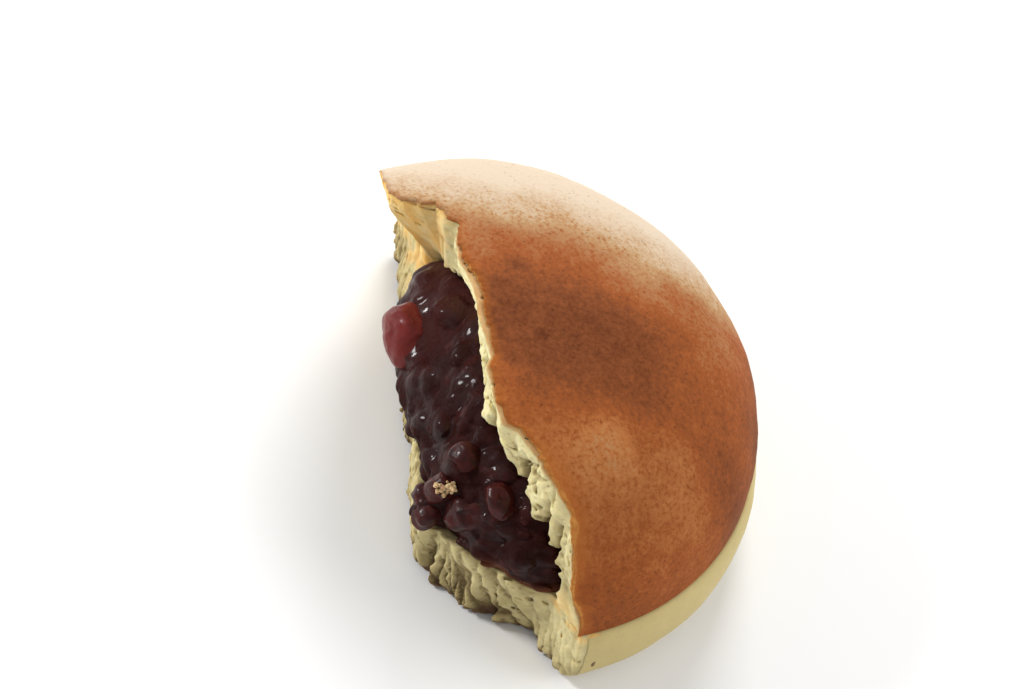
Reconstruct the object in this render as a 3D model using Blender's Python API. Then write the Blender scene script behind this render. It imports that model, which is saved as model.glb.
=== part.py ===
"""Torn half of a dorayaki: two thick pancakes pinched round a filling of sweet red bean paste.

The half lies on the lower pancake. The origin is on the flat underside, at the centre of the
round that it was torn from. +Z is up, the torn face looks towards -Y, and the tear runs along X.
Sizes in this file are millimetres and are turned into metres when a mesh is made.
"""
from bisect import bisect_right
from math import ceil, cos, hypot, pi, radians, sin

import bmesh
import bpy
from mathutils import Euler, Matrix, Vector, noise

MM = 0.001

# The whole round, before it was torn
RIM_RADIUS = 45.0            # edge of the browned top, where the two pancakes are pinched together
RIM_BULGE = 1.7              # how far the pale rim of the lower pancake swells past that edge
SEAM_HEIGHT = 13.4           # thickness of the lower pancake
DOME_RISE = 27.7             # height of the browned top above the seam
DOME_SIDE_POWER = 2.65       # fullness of the dome's shoulder
DOME_CROWN_POWER = 2.03      # roundness of the dome's edge
POCKET_CENTRE = 4.5          # the hollow that the filling lies in is off centre along the tear
POCKET_RADIUS = 33.1
POCKET_RISE = 16.8
POCKET_SIDE_POWER = 2.7
POCKET_CROWN_POWER = 1.7
FLAT_RADIUS = 34.0           # the flat that the half stands on
RIM_WIDEST = 7.0             # height at which the rim is widest
RIM_UNDER_POWER = 2.9        # squareness of the turn from the flat to the rim
RIM_UNDER_SHARE = 0.7        # share of the rim's outline that lies below its widest height
GAP = 0.3                    # clearance between neighbouring pieces

# Where the browned top is torn: the edge of the skin, (x, y) seen from above
SKIN_TEAR = (
    (-45.0, -0.8), (-42.6, -4.5), (-38.2, -7.1), (-33.9, -8.8), (-28.5, -10.2), (-25.2, -9.2),
    (-23.0, -7.2), (-22.4, -4.8), (-19.0, -4.8), (-16.6, -3.1), (-13.5, -4.9), (-9.1, -5.6),
    (-3.2, -4.8), (3.5, -6.4), (9.6, -7.3), (11.5, -8.7), (16.6, -9.3), (20.8, -9.3),
    (22.6, -7.2), (28.0, -5.3), (36.3, -2.3), (38.5, -3.0), (43.2, -3.1), (45.0, -0.8),
)
# The same tear at the roof of the pocket, where the crumb meets the filling
ROOF_TEAR = (
    (-45.0, 2.0), (-36.0, 1.2), (-28.0, 0.4), (-19.0, -2.2), (-9.5, 0.4), (0.0, -1.6),
    (5.0, -5.2), (14.5, -7.4), (21.0, -6.4), (29.5, -5.1), (34.0, -3.1), (37.4, -1.4), (45.0, -0.5),
)
# The tear of the lower pancake, at its upper face and at its underside
FLOOR_TEAR = (
    (-46.5, 2.4), (-36.0, 1.2), (-27.0, 0.4), (-20.0, -3.4), (-4.0, -9.8), (10.0, -14.6),
    (17.6, -18.4), (20.2, -17.8), (22.2, -14.8), (25.0, -14.0), (29.4, -10.6), (33.2, -7.6),
    (37.4, -1.8), (41.0, -1.0), (46.5, -0.6),
)
SOLE_TEAR = (
    (-46.5, 2.8), (-40.0, 1.4), (-34.0, -0.6), (-20.0, -4.8), (-4.0, -9.1), (8.5, -13.0),
    (19.0, -15.8), (22.6, -15.4), (25.0, -12.6), (28.6, -11.2), (32.0, -8.0), (33.0, -4.4),
    (35.4, -1.8), (40.0, -1.6), (46.5, -0.5),
)
# The face of the filling, at its foot and at the roof of the pocket
PASTE_FOOT = (
    (-28.5, 0.8), (-25.5, -3.5), (-23.0, -6.0), (-16.0, -10.4), (-7.0, -11.2), (-2.0, -13.2),
    (3.0, -13.8), (7.0, -12.8), (12.5, -14.2), (18.6, -17.6), (21.5, -14.4), (27.5, -11.4),
    (31.7, -8.0), (35.2, -4.8), (37.3, -1.2),
)
PASTE_CREST = (
    (-28.0, 1.4), (-18.0, -1.4), (-9.0, 0.6), (0.0, -2.0), (6.0, -5.0), (15.0, -7.0),
    (22.0, -6.2), (29.0, -4.8), (33.6, -2.8), (37.3, -1.0),
)
PASTE_LEAN = 1.4             # how the face bends back: 1 is straight, more is steeper at its foot
PASTE_SWELL = 1.2            # how far the paste bellies out between its foot and its crest
PASTE_FOLDS = 1.1            # relief of the paste's folds

# Splits that run into the crumb from the filling: (x, half width, depth)
ROOF_SPLITS = (
    (-20.5, 1.2, 1.5), (8.4, 1.1, 1.6), (16.8, 1.7, 3.4), (25.2, 1.5, 3.0), (31.4, 1.4, 2.4),
    (34.2, 1.0, 1.6),
)
SOLE_SPLITS = (
    (-27.0, 1.2, 1.6), (-12.0, 1.3, 1.8), (3.0, 1.2, 1.6), (13.0, 1.2, 1.8), (21.2, 1.5, 2.6),
    (30.6, 1.6, 2.4),
)
COLUMN_WIDTH = 2.6           # the crumb tears into upright columns about this wide
COLUMN_LENGTH = 9.0
COLUMN_RELIEF = 0.85
KNOB_SIZE = 2.0              # and its columns are knobbly
KNOB_RELIEF = 0.35

# Beans in the paste's face: (x, height above the seam, length, thickness, turn in degrees, how proud)
BEANS = (
    (-12.8, 4.4, 11.0, 8.4, 78.5, 3.0), (17.0, 9.6, 8.6, 6.0, 20, 1.6),
    (18.4, 6.6, 5.8, 4.6, 65, 1.6), (25.6, 9.0, 8.0, 4.8, 30, 1.1), (22.8, 5.6, 9.4, 6.2, 62, 2.3),
    (19.6, 1.8, 5.6, 4.2, 95, 0.9), (31.2, 5.2, 8.8, 6.2, 72, 1.2), (34.6, 1.6, 6.0, 3.6, 84, 0.4),
    (26.2, 2.2, 5.4, 3.8, 75, 1.0), (-9.6, 11.2, 11.0, 7.6, 35, 1.3),
    (-20.6, 7.8, 7.0, 5.0, 55, 1.1), (-3.0, 5.6, 9.0, 6.0, 70, 1.3),
    (-1.0, 12.4, 8.4, 5.6, 120, 0.9), (4.4, 4.6, 7.8, 5.2, 60, 1.2), (8.0, 7.8, 8.0, 5.6, 45, 1.3),
    (11.4, 3.6, 6.8, 4.8, 105, 1.1), (10.6, 12.6, 7.8, 5.2, 140, 0.9),
    (-6.0, 1.8, 7.0, 4.6, 95, 1.0), (17.5, 2.6, 5.6, 4.2, 80, 0.8),
)
BEAN_BEND = 0.16             # how far a bean's middle bows out, as a share of its thickness
BEAN_YAW = 0.12              # radians that a bean is turned aside for each degree of its turn

# Fineness of the facets
TURN_STEPS = 96
DOME_RINGS = 20
POCKET_RINGS = 12
RIM_RINGS = 12
TEAR_PITCH = 1.4
PASTE_STEPS = 40
PASTE_RINGS = 9
BEAN_SEGMENTS = 12
BEAN_RINGS = 8
MARGIN = 2.0                 # how far a cutter reaches past what it cuts


def smooth(value):
    """0 below 0, 1 above 1, and an even S between them."""
    t = min(1.0, max(0.0, value))
    return t * t * (3.0 - 2.0 * t)


def along(line, x):
    """Height of a line of (x, y) points at x, a little eased from point to point."""
    i = bisect_right([point[0] for point in line], x)
    if i == 0:
        return line[0][1]
    if i == len(line):
        return line[-1][1]
    (x0, y0), (x1, y1) = line[i - 1], line[i]
    t = (x - x0) / (x1 - x0)
    return y0 + (y1 - y0) * 0.5 * (t + smooth(t))


def dome(radius):
    """Height of the browned top at a distance from the centre of the round."""
    inside = max(0.0, 1.0 - (radius / RIM_RADIUS) ** DOME_SIDE_POWER)
    return SEAM_HEIGHT + DOME_RISE * inside ** (1.0 / DOME_CROWN_POWER)


def pocket(radius):
    """Height of the pocket's roof at a distance from the pocket's own centre."""
    inside = max(0.0, 1.0 - (radius / POCKET_RADIUS) ** POCKET_SIDE_POWER)
    return SEAM_HEIGHT + POCKET_RISE * inside ** (1.0 / POCKET_CROWN_POWER)


def roof(x, y):
    """Height of the pocket's roof above a place seen from above."""
    return pocket(hypot(x - POCKET_CENTRE, y))


def arch(reach, height):
    """Outline of a dome, from its crown (0) to its edge (1)."""
    return lambda t: (reach * sin(0.5 * pi * t), height(reach * sin(0.5 * pi * t)))


def lower_rim(t):
    """Outline of the lower pancake's rim, from the flat (0) up to the seam (1)."""
    if t < RIM_UNDER_SHARE:
        a = 0.5 * pi * t / RIM_UNDER_SHARE
        out = (RIM_RADIUS + RIM_BULGE - FLAT_RADIUS) * sin(a) ** (2.0 / RIM_UNDER_POWER)
        return FLAT_RADIUS + out, RIM_WIDEST * (1.0 - cos(a) ** (2.0 / RIM_UNDER_POWER))
    a = 0.5 * pi * (t - RIM_UNDER_SHARE) / (1.0 - RIM_UNDER_SHARE)
    rise = SEAM_HEIGHT - 0.5 * GAP - RIM_WIDEST
    return RIM_RADIUS + RIM_BULGE * cos(a), RIM_WIDEST + rise * sin(a)


def even_steps(curve, count):
    """count + 1 points at even spacing along a curve given as a function of 0 to 1."""
    fine = [curve(i / 400.0) for i in range(401)]
    travelled = [0.0]
    for a, b in zip(fine, fine[1:]):
        travelled.append(travelled[-1] + hypot(b[0] - a[0], b[1] - a[1]))
    points = []
    for i in range(count + 1):
        wanted = travelled[-1] * i / count
        k = min(len(fine) - 2, bisect_right(travelled, wanted) - 1)
        share = (wanted - travelled[k]) / (travelled[k + 1] - travelled[k])
        (x0, y0), (x1, y1) = fine[k], fine[k + 1]
        points.append((x0 + (x1 - x0) * share, y0 + (y1 - y0) * share))
    return points


def crumb_relief(x, z, layer):
    """Columns and knobs of torn crumb. Positive goes into the pancake."""
    columns = noise.noise(Vector((x / COLUMN_WIDTH, z / COLUMN_LENGTH, layer)))
    knobs = noise.noise(Vector((x / KNOB_SIZE, z / KNOB_SIZE, layer + 7.0)))
    return COLUMN_RELIEF * columns + KNOB_RELIEF * knobs


def split_depth(x, splits):
    """How deep the splits run at x."""
    return sum(depth * max(0.0, 1.0 - abs(x - at) / half) for at, half, depth in splits)


def top_tear(x, z):
    """Torn face of the upper pancake, from the roof of the pocket out to the skin."""
    roof_y, skin_y = along(ROOF_TEAR, x), along(SKIN_TEAR, x)
    roof_z, skin_z = roof(x, roof_y), dome(hypot(x, skin_y))
    share = smooth((z - roof_z) / max(1.0, skin_z - roof_z))
    near_skin = smooth((share - 0.7) / 0.3)
    relief = (1.0 - 0.75 * near_skin) * crumb_relief(x, z, 1.0)
    return roof_y + (skin_y - roof_y) * share + relief + (1.0 - share) * split_depth(x, ROOF_SPLITS)


def bottom_tear(x, z):
    """Torn face of the lower pancake, from its underside up to the filling."""
    sole_y, floor_y = along(SOLE_TEAR, x), along(FLOOR_TEAR, x)
    share = smooth(z / SEAM_HEIGHT)
    opening = (1.0 - 0.7 * share) * split_depth(x, SOLE_SPLITS)
    return sole_y + (floor_y - sole_y) * share + crumb_relief(x, z, 4.0) + opening


def paste_front(x, z):
    """Face of the filling, which leans back from its foot to its crest and bellies out between them."""
    foot, crest = along(PASTE_FOOT, x), along(PASTE_CREST, x)
    height = max(1.5, roof(x, crest) - SEAM_HEIGHT)
    share = min(1.0, max(0.0, (z - SEAM_HEIGHT) / height))
    belly = PASTE_SWELL * 4.0 * share * (1.0 - share) * min(1.0, height / POCKET_RISE)
    folds = PASTE_FOLDS * noise.noise(Vector((x / 4.0, z / 2.8, 11.0)))
    return foot + (crest - foot) * share ** PASTE_LEAN - belly + folds


def finished(name, bm, material=None):
    """Turn a bmesh in millimetres into a named object in metres."""
    bmesh.ops.recalc_face_normals(bm, faces=bm.faces)
    bmesh.ops.scale(bm, vec=(MM, MM, MM), verts=bm.verts)
    mesh = bpy.data.meshes.new(name)
    bm.to_mesh(mesh)
    bm.free()
    mesh.shade_smooth()
    obj = bpy.data.objects.new(name, mesh)
    bpy.context.scene.collection.objects.link(obj)
    if material:
        mesh.materials.append(material)
    return obj


def turned(name, profile, steps, material=None, centre=0.0):
    """A solid of revolution about an upright axis at x = centre. The profile starts and ends on it."""
    bm = bmesh.new()
    angles = [2.0 * pi * (k + 0.5) / steps for k in range(steps)]
    rings = []
    for radius, height in profile:
        if radius > 0.0:
            rings.append([bm.verts.new((centre + radius * cos(a), radius * sin(a), height)) for a in angles])
        else:
            rings.append([bm.verts.new((centre, 0.0, height))])
    for lower, upper in zip(rings, rings[1:]):
        for k in range(steps):
            n = (k + 1) % steps
            if len(lower) == 1:
                bm.faces.new((lower[0], upper[n], upper[k]))
            elif len(upper) == 1:
                bm.faces.new((lower[k], lower[n], upper[0]))
            else:
                bm.faces.new((lower[k], lower[n], upper[n], upper[k]))
    return finished(name, bm, material)


def tear_cutter(name, tear, low, high):
    """A closed block in front of the surface y = tear(x, z), for z from low to high."""
    half = RIM_RADIUS + 2.0 * MARGIN
    columns = ceil(2.0 * half / TEAR_PITCH)
    rows = ceil((high - low) / TEAR_PITCH)
    xs = [-half + 2.0 * half * i / columns for i in range(columns + 1)]
    zs = [low + (high - low) * j / rows for j in range(rows + 1)]
    bm = bmesh.new()
    face = [[bm.verts.new((x, tear(x, z), z)) for x in xs] for z in zs]
    for j in range(rows):
        for i in range(columns):
            a, b, c, d = face[j][i], face[j][i + 1], face[j + 1][i + 1], face[j + 1][i]
            halves = ((a, b, c), (a, c, d)) if (i + j) % 2 else ((a, b, d), (b, c, d))
            for corners in halves:
                bm.faces.new(corners)
    edge = face[0] + [row[-1] for row in face[1:-1]] + face[-1][::-1] + [row[0] for row in face[-2:0:-1]]
    front = [bm.verts.new((vert.co.x, -half, vert.co.z)) for vert in edge]
    for k in range(len(edge)):
        bm.faces.new((edge[k - 1], edge[k], front[k], front[k - 1]))
    bm.faces.new(front)
    cutter = finished(name, bm)
    cutter.hide_render = True
    cutter.display_type = "WIRE"
    return cutter


def apply_modifiers(obj):
    """Keep the evaluated mesh as the object's own."""
    depsgraph = bpy.context.evaluated_depsgraph_get()
    mesh = bpy.data.meshes.new_from_object(obj.evaluated_get(depsgraph))
    obj.modifiers.clear()
    obj.data = mesh


def shells(bm):
    """The groups of vertices that edges join."""
    left, groups = set(bm.verts), []
    while left:
        group, todo = set(), [left.pop()]
        while todo:
            vert = todo.pop()
            group.add(vert)
            for edge in vert.link_edges:
                other = edge.other_vert(vert)
                if other in left:
                    left.remove(other)
                    todo.append(other)
        groups.append(group)
    return groups


def keep_largest_body(obj):
    """Drop loose scraps and sealed hollows, and split every face into triangles."""
    bm = bmesh.new()
    bm.from_mesh(obj.data)
    bmesh.ops.dissolve_degenerate(bm, dist=1e-7, edges=bm.edges)
    bmesh.ops.triangulate(bm, faces=bm.faces)
    for scrap in sorted(shells(bm), key=len)[:-1]:
        bmesh.ops.delete(bm, geom=list(scrap), context="VERTS")
    bm.to_mesh(obj.data)
    bm.free()
    obj.data.shade_smooth()


def combine(obj, operation, tool):
    """Apply one Boolean with a tool object, which is then removed."""
    step = obj.modifiers.new(tool.name, "BOOLEAN")
    step.operation = operation
    step.solver = "EXACT"
    step.object = tool
    apply_modifiers(obj)
    bpy.data.objects.remove(tool)
    keep_largest_body(obj)


def fuse_all(obj, collection):
    """Join a whole collection to the object in one Boolean union, and remove the collection."""
    fuse = obj.modifiers.new("fuse", "BOOLEAN")
    fuse.operation = "UNION"
    fuse.solver = "EXACT"
    fuse.operand_type = "COLLECTION"
    fuse.collection = collection
    apply_modifiers(obj)
    for part in list(collection.objects):
        bpy.data.objects.remove(part)
    bpy.data.collections.remove(collection)


def food(name, colour, roughness):
    """A matt or moist surface of one colour."""
    material = bpy.data.materials.new(name)
    material.use_nodes = True
    shader = material.node_tree.nodes["Principled BSDF"]
    shader.inputs["Base Color"].default_value = (*colour, 1.0)
    shader.inputs["Roughness"].default_value = roughness
    shader.inputs["Metallic"].default_value = 0.0
    return material


def make_bottom_pancake():
    """Thick lower pancake, flat underneath, with a pale swelling rim, torn along the front."""
    profile = [(0.0, 0.0), (0.5 * FLAT_RADIUS, 0.0)] + even_steps(lower_rim, RIM_RINGS)
    top = profile[-1][1]
    profile += [(0.85 * RIM_RADIUS, top), (0.5 * RIM_RADIUS, top), (0.0, top)]
    solid = turned("bottom_pancake", profile, TURN_STEPS, food("pale_crumb", (0.62, 0.50, 0.22), 0.7))
    combine(solid, "DIFFERENCE", tear_cutter("tear", bottom_tear, -MARGIN, SEAM_HEIGHT + MARGIN))


def make_top_pancake():
    """Browned dome with a pocket hollowed under it, torn along the front."""
    edge = SEAM_HEIGHT + 0.5 * GAP
    dome_line = even_steps(arch(RIM_RADIUS, dome), DOME_RINGS)
    profile = [(0.0, edge)] + [(radius, max(height, edge)) for radius, height in reversed(dome_line)]
    solid = turned("top_pancake", profile, TURN_STEPS, food("browned_top", (0.40, 0.13, 0.035), 0.55))
    below = SEAM_HEIGHT - MARGIN
    roof_line = even_steps(arch(POCKET_RADIUS, pocket), POCKET_RINGS)
    hollow = [(0.0, below), (POCKET_RADIUS, below)] + roof_line[::-1]
    combine(solid, "DIFFERENCE", turned("hollow", hollow, TURN_STEPS, centre=POCKET_CENTRE))
    combine(solid, "DIFFERENCE", tear_cutter("tear", top_tear, below, SEAM_HEIGHT + DOME_RISE + MARGIN))


def pocket_filling(name, material=None):
    """A round of paste as wide and as high as the pocket allows."""
    floor = SEAM_HEIGHT + 0.5 * GAP
    inner = arch(POCKET_RADIUS - 2.0 * GAP, lambda radius: pocket(radius) - 2.0 * GAP)
    ceiling = even_steps(inner, PASTE_RINGS)
    profile = [(0.0, floor)] + [point for point in reversed(ceiling) if point[1] > floor + GAP]
    return turned(name, profile, PASTE_STEPS, material, POCKET_CENTRE)


def bean(x, rise, length, thickness, turn, proud):
    """A whole bean, a little kidney shaped, that stands proud of the paste's face."""
    bm = bmesh.new()
    bmesh.ops.create_uvsphere(bm, u_segments=BEAN_SEGMENTS, v_segments=BEAN_RINGS, radius=0.5)
    for vert in bm.verts:
        vert.co.x += BEAN_BEND * 4.0 * vert.co.z * vert.co.z
    height = SEAM_HEIGHT + rise
    place = Matrix.Translation((x, paste_front(x, height) + 0.5 * thickness - proud, height))
    lie = Euler((0.0, radians(turn), BEAN_YAW * turn)).to_matrix().to_4x4()
    size = Matrix.Diagonal((thickness, thickness, length, 1.0))
    bmesh.ops.transform(bm, matrix=place @ lie @ size, verts=bm.verts)
    return finished("bean", bm)


def make_bean_filling():
    """Paste that fills the pocket and bellies out of the tear, with whole beans fused into its face."""
    solid = pocket_filling("bean_filling", food("bean_paste", (0.045, 0.012, 0.014), 0.25))
    low, high = SEAM_HEIGHT - MARGIN, SEAM_HEIGHT + POCKET_RISE + MARGIN
    combine(solid, "DIFFERENCE", tear_cutter("front", paste_front, low, high))
    heap = bpy.data.collections.new("beans")
    bpy.context.scene.collection.children.link(heap)
    for sizes in BEANS:
        heap.objects.link(bean(*sizes))
    fuse_all(solid, heap)
    combine(solid, "INTERSECT", pocket_filling("pocket"))


def main():
    for obj in list(bpy.data.objects):
        bpy.data.objects.remove(obj)
    make_bottom_pancake()
    make_bean_filling()
    make_top_pancake()


main()
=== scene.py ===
"""Looks of the torn half of a dorayaki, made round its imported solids.

The file is laid out as an add-on. One operator makes each piece, and one makes the stage.
Sizes and colours that a user would change are in two property groups, shown in the sidebar.
Shapes are worked out in millimetres, and become metres when a mesh is made. The origin is on the
flat underside, +Z is up, the torn face looks towards -Y, and the tear runs along X.
"""
from math import cos, pi, radians, sin

import bpy
import numpy as np
from mathutils import Euler, Matrix, Vector, noise


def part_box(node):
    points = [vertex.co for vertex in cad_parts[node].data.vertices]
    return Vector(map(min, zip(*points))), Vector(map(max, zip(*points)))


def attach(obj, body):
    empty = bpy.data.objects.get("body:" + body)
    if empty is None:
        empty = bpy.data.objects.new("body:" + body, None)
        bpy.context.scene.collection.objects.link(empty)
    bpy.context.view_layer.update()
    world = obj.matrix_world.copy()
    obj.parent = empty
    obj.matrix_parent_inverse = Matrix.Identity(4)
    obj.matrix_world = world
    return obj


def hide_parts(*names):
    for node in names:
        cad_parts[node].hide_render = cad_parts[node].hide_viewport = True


bl_info = {
    "name": "Torn Dorayaki",
    "version": (1, 0, 0),
    "blender": (4, 5, 0),
    "location": "View3D > Sidebar > Dorayaki",
    "description": "Makes the skin, crumb, bean filling and stage of a torn half of a dorayaki",
    "category": "Add Mesh",
}

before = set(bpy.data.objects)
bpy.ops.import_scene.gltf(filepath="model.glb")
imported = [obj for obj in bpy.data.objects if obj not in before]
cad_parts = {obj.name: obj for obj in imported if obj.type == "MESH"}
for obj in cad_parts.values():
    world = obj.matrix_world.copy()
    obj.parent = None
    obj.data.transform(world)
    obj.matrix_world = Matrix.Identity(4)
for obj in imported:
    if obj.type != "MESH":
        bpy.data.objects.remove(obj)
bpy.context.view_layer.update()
MM = 0.001
LOWER_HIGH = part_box("bottom_pancake")[1]
UPPER_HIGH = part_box("top_pancake")[1]

# The round before it was torn, in millimetres. The powers say how boxy a curve is, where 2 is round.
GAP = 0.3                    # clearance between the solids
DOME_SIDE_POWER = 2.65
DOME_CROWN_POWER = 2.03
POCKET_CENTRE = 4.5          # the filling's pocket, along x
POCKET_RADIUS = 33.1
POCKET_RISE = 16.8           # from the seam up to its roof
POCKET_SIDE_POWER = 2.7
POCKET_CROWN_POWER = 1.7
POCKET = (POCKET_RADIUS, POCKET_RISE, POCKET_SIDE_POWER, POCKET_CROWN_POWER)
FLAT_RADIUS = 34.0           # flat part of the underside
RIM_BULGE = 1.7              # how far the pale rim swells past the browned top
RIM_WIDEST = 7.0             # height where it is widest
RIM_UNDER_POWER = 2.9

# The tears, as the solids have them: (x, y) seen from above
SKIN_TEAR = (
    (-45.0, -0.8), (-42.6, -4.5), (-38.2, -7.1), (-33.9, -8.8), (-28.5, -10.2), (-25.2, -9.2),
    (-23.0, -7.2), (-22.4, -4.8), (-19.0, -4.8), (-16.6, -3.1), (-13.5, -4.9), (-9.1, -5.6),
    (-3.2, -4.8), (3.5, -6.4), (9.6, -7.3), (11.5, -8.7), (16.6, -9.3), (20.8, -9.3),
    (22.6, -7.2), (28.0, -5.3), (36.3, -2.3), (38.5, -3.0), (43.2, -3.1), (45.0, -0.8),
)
ROOF_TEAR = (
    (-45.0, 2.0), (-36.0, 1.2), (-28.0, 0.4), (-19.0, -2.2), (-9.5, 0.4), (0.0, -1.6),
    (5.0, -5.2), (14.5, -7.4), (21.0, -6.4), (29.5, -5.1), (34.0, -3.1), (37.4, -1.4), (45.0, -0.5),
)
FLOOR_TEAR = (
    (-46.5, 2.4), (-36.0, 1.2), (-27.0, 0.4), (-20.0, -3.4), (-4.0, -9.8), (10.0, -14.6),
    (17.6, -18.4), (20.2, -17.8), (22.2, -14.8), (25.0, -14.0), (29.4, -10.6), (33.2, -7.6),
    (37.4, -1.8), (41.0, -1.0), (46.5, -0.6),
)
SOLE_TEAR = (
    (-46.5, 2.8), (-40.0, 1.4), (-34.0, -0.6), (-20.0, -4.8), (-4.0, -9.1), (8.5, -13.0),
    (19.0, -15.8), (22.6, -15.4), (25.0, -12.6), (28.6, -11.2), (32.0, -8.0), (33.0, -4.4),
    (35.4, -1.8), (40.0, -1.6), (46.5, -0.5),
)
PASTE_FOOT = (
    (-28.5, 0.8), (-25.5, -3.5), (-23.0, -6.0), (-16.0, -10.4), (-7.0, -11.2), (-2.0, -13.2),
    (3.0, -13.8), (7.0, -12.8), (12.5, -14.2), (18.6, -17.6), (21.5, -14.4), (27.5, -11.4),
    (31.7, -8.0), (35.2, -4.8), (37.3, -1.2),
)
PASTE_CREST = (
    (-28.0, 1.4), (-18.0, -1.4), (-9.0, 0.6), (0.0, -2.0), (6.0, -5.0), (15.0, -7.0),
    (22.0, -6.2), (29.0, -4.8), (33.6, -2.8), (37.3, -1.0),
)
PASTE_LEAN = 1.4             # how late the paste's face leans back, going up
PASTE_SWELL = 1.2            # how far it bellies out
PASTE_FOLDS = 1.1            # height of its folds

# Splits that run into the crumb from the filling: (x, half width, depth)
ROOF_SPLITS = (
    (-20.5, 1.2, 1.5), (8.4, 1.1, 1.6), (16.8, 1.7, 3.4), (25.2, 1.5, 3.0), (31.4, 1.4, 2.4),
    (34.2, 1.0, 1.6),
)
SOLE_SPLITS = (
    (-27.0, 1.2, 1.6), (-12.0, 1.3, 1.8), (3.0, 1.2, 1.6), (13.0, 1.2, 1.8), (21.2, 1.5, 2.6),
    (30.6, 1.6, 2.4),
)

# Beans in the paste's face: x, height above the seam, length, thickness, turn in degrees,
# how proud, and how red its skin is against the dark paste
BEANS = (
    (-12.8, 4.4, 11.0, 8.4, 78.5, 3.0, 0.7), (17.0, 9.6, 8.6, 6.0, 20, 1.6, 0.06),
    (18.4, 6.6, 5.8, 4.6, 65, 1.6, 0.16), (25.6, 9.0, 8.0, 4.8, 30, 1.1, 0.17),
    (22.8, 5.6, 9.4, 6.2, 62, 2.3, 0.10), (19.6, 1.8, 5.6, 4.2, 95, 0.9, 0.14),
    (31.2, 5.2, 8.8, 6.2, 72, 1.2, 0.0), (34.6, 1.6, 6.0, 3.6, 84, 0.4, 0.0),
    (26.2, 2.2, 5.4, 3.8, 75, 1.0, 0.0), (-9.6, 11.2, 11.0, 7.6, 35, 1.3, 0.0),
    (-20.6, 7.8, 7.0, 5.0, 55, 1.1, 0.0), (-3.0, 5.6, 9.0, 6.0, 70, 1.3, 0.0),
    (-1.0, 12.4, 8.4, 5.6, 120, 0.9, 0.0), (4.4, 4.6, 7.8, 5.2, 60, 1.2, 0.0),
    (8.0, 7.8, 8.0, 5.6, 45, 1.3, 0.05), (11.4, 3.6, 6.8, 4.8, 105, 1.1, 0.0),
    (10.6, 12.6, 7.8, 5.2, 140, 0.9, 0.0), (-6.0, 1.8, 7.0, 4.6, 95, 1.0, 0.0),
    (17.5, 2.6, 5.6, 4.2, 80, 0.8, 0.11),
)
BEAN_BEND = 0.64             # how fast a bean bends aside from its middle to its ends
BEAN_YAW = 0.12              # how far a bean turns into the paste as it turns in the face


# ------------ sizes and colours


def length(name, description, value, low, high):
    """A length to choose in the sidebar, in metres."""
    return bpy.props.FloatProperty(
        name=name, description=description, default=value, min=low, max=high,
        unit="LENGTH", subtype="DISTANCE")


def amount(name, description):
    """How much of a relief there is, to choose in the sidebar. 1 is the dorayaki as it was made."""
    return bpy.props.FloatProperty(
        name=name, description=description, default=1.0, min=0.0, max=2.0, subtype="FACTOR")


def colour(name, description, value):
    """A colour to choose in the sidebar."""
    return bpy.props.FloatVectorProperty(
        name=name, description=description, default=value, size=3, min=0.0, max=1.0, subtype="COLOR")


class DorayakiSizes(bpy.types.PropertyGroup):
    """Sizes of the half."""

    rim_radius: length(
        "Rim radius", "Radius of the browned top, where the pancakes are pinched",
        LOWER_HIGH.x - RIM_BULGE * MM, 0.02, 0.08)
    seam_height: length(
        "Seam height", "Thickness of the lower pancake", LOWER_HIGH.z + 0.5 * GAP * MM, 0.005, 0.03)
    crown_height: length(
        "Crown height", "Height of the browned top above the table", UPPER_HIGH.z, 0.02, 0.08)
    skin_thickness: length("Skin thickness", "Thickness of the browned skin", 0.0004, 0.0002, 0.003)
    skin_waviness: length("Skin waviness", "Height of the dome's gentle swells", 0.00035, 0.0, 0.002)
    crumb_roughness: amount("Crumb roughness", "How deep the torn crumb's lumps and grooves are")
    paste_roughness: amount("Paste roughness", "How deep the bean paste's wrinkles are")
    fineness: length(
        "Fineness", "Spacing of the points of the crumb and paste",
        0.00025, 0.0002, 0.001)


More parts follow.
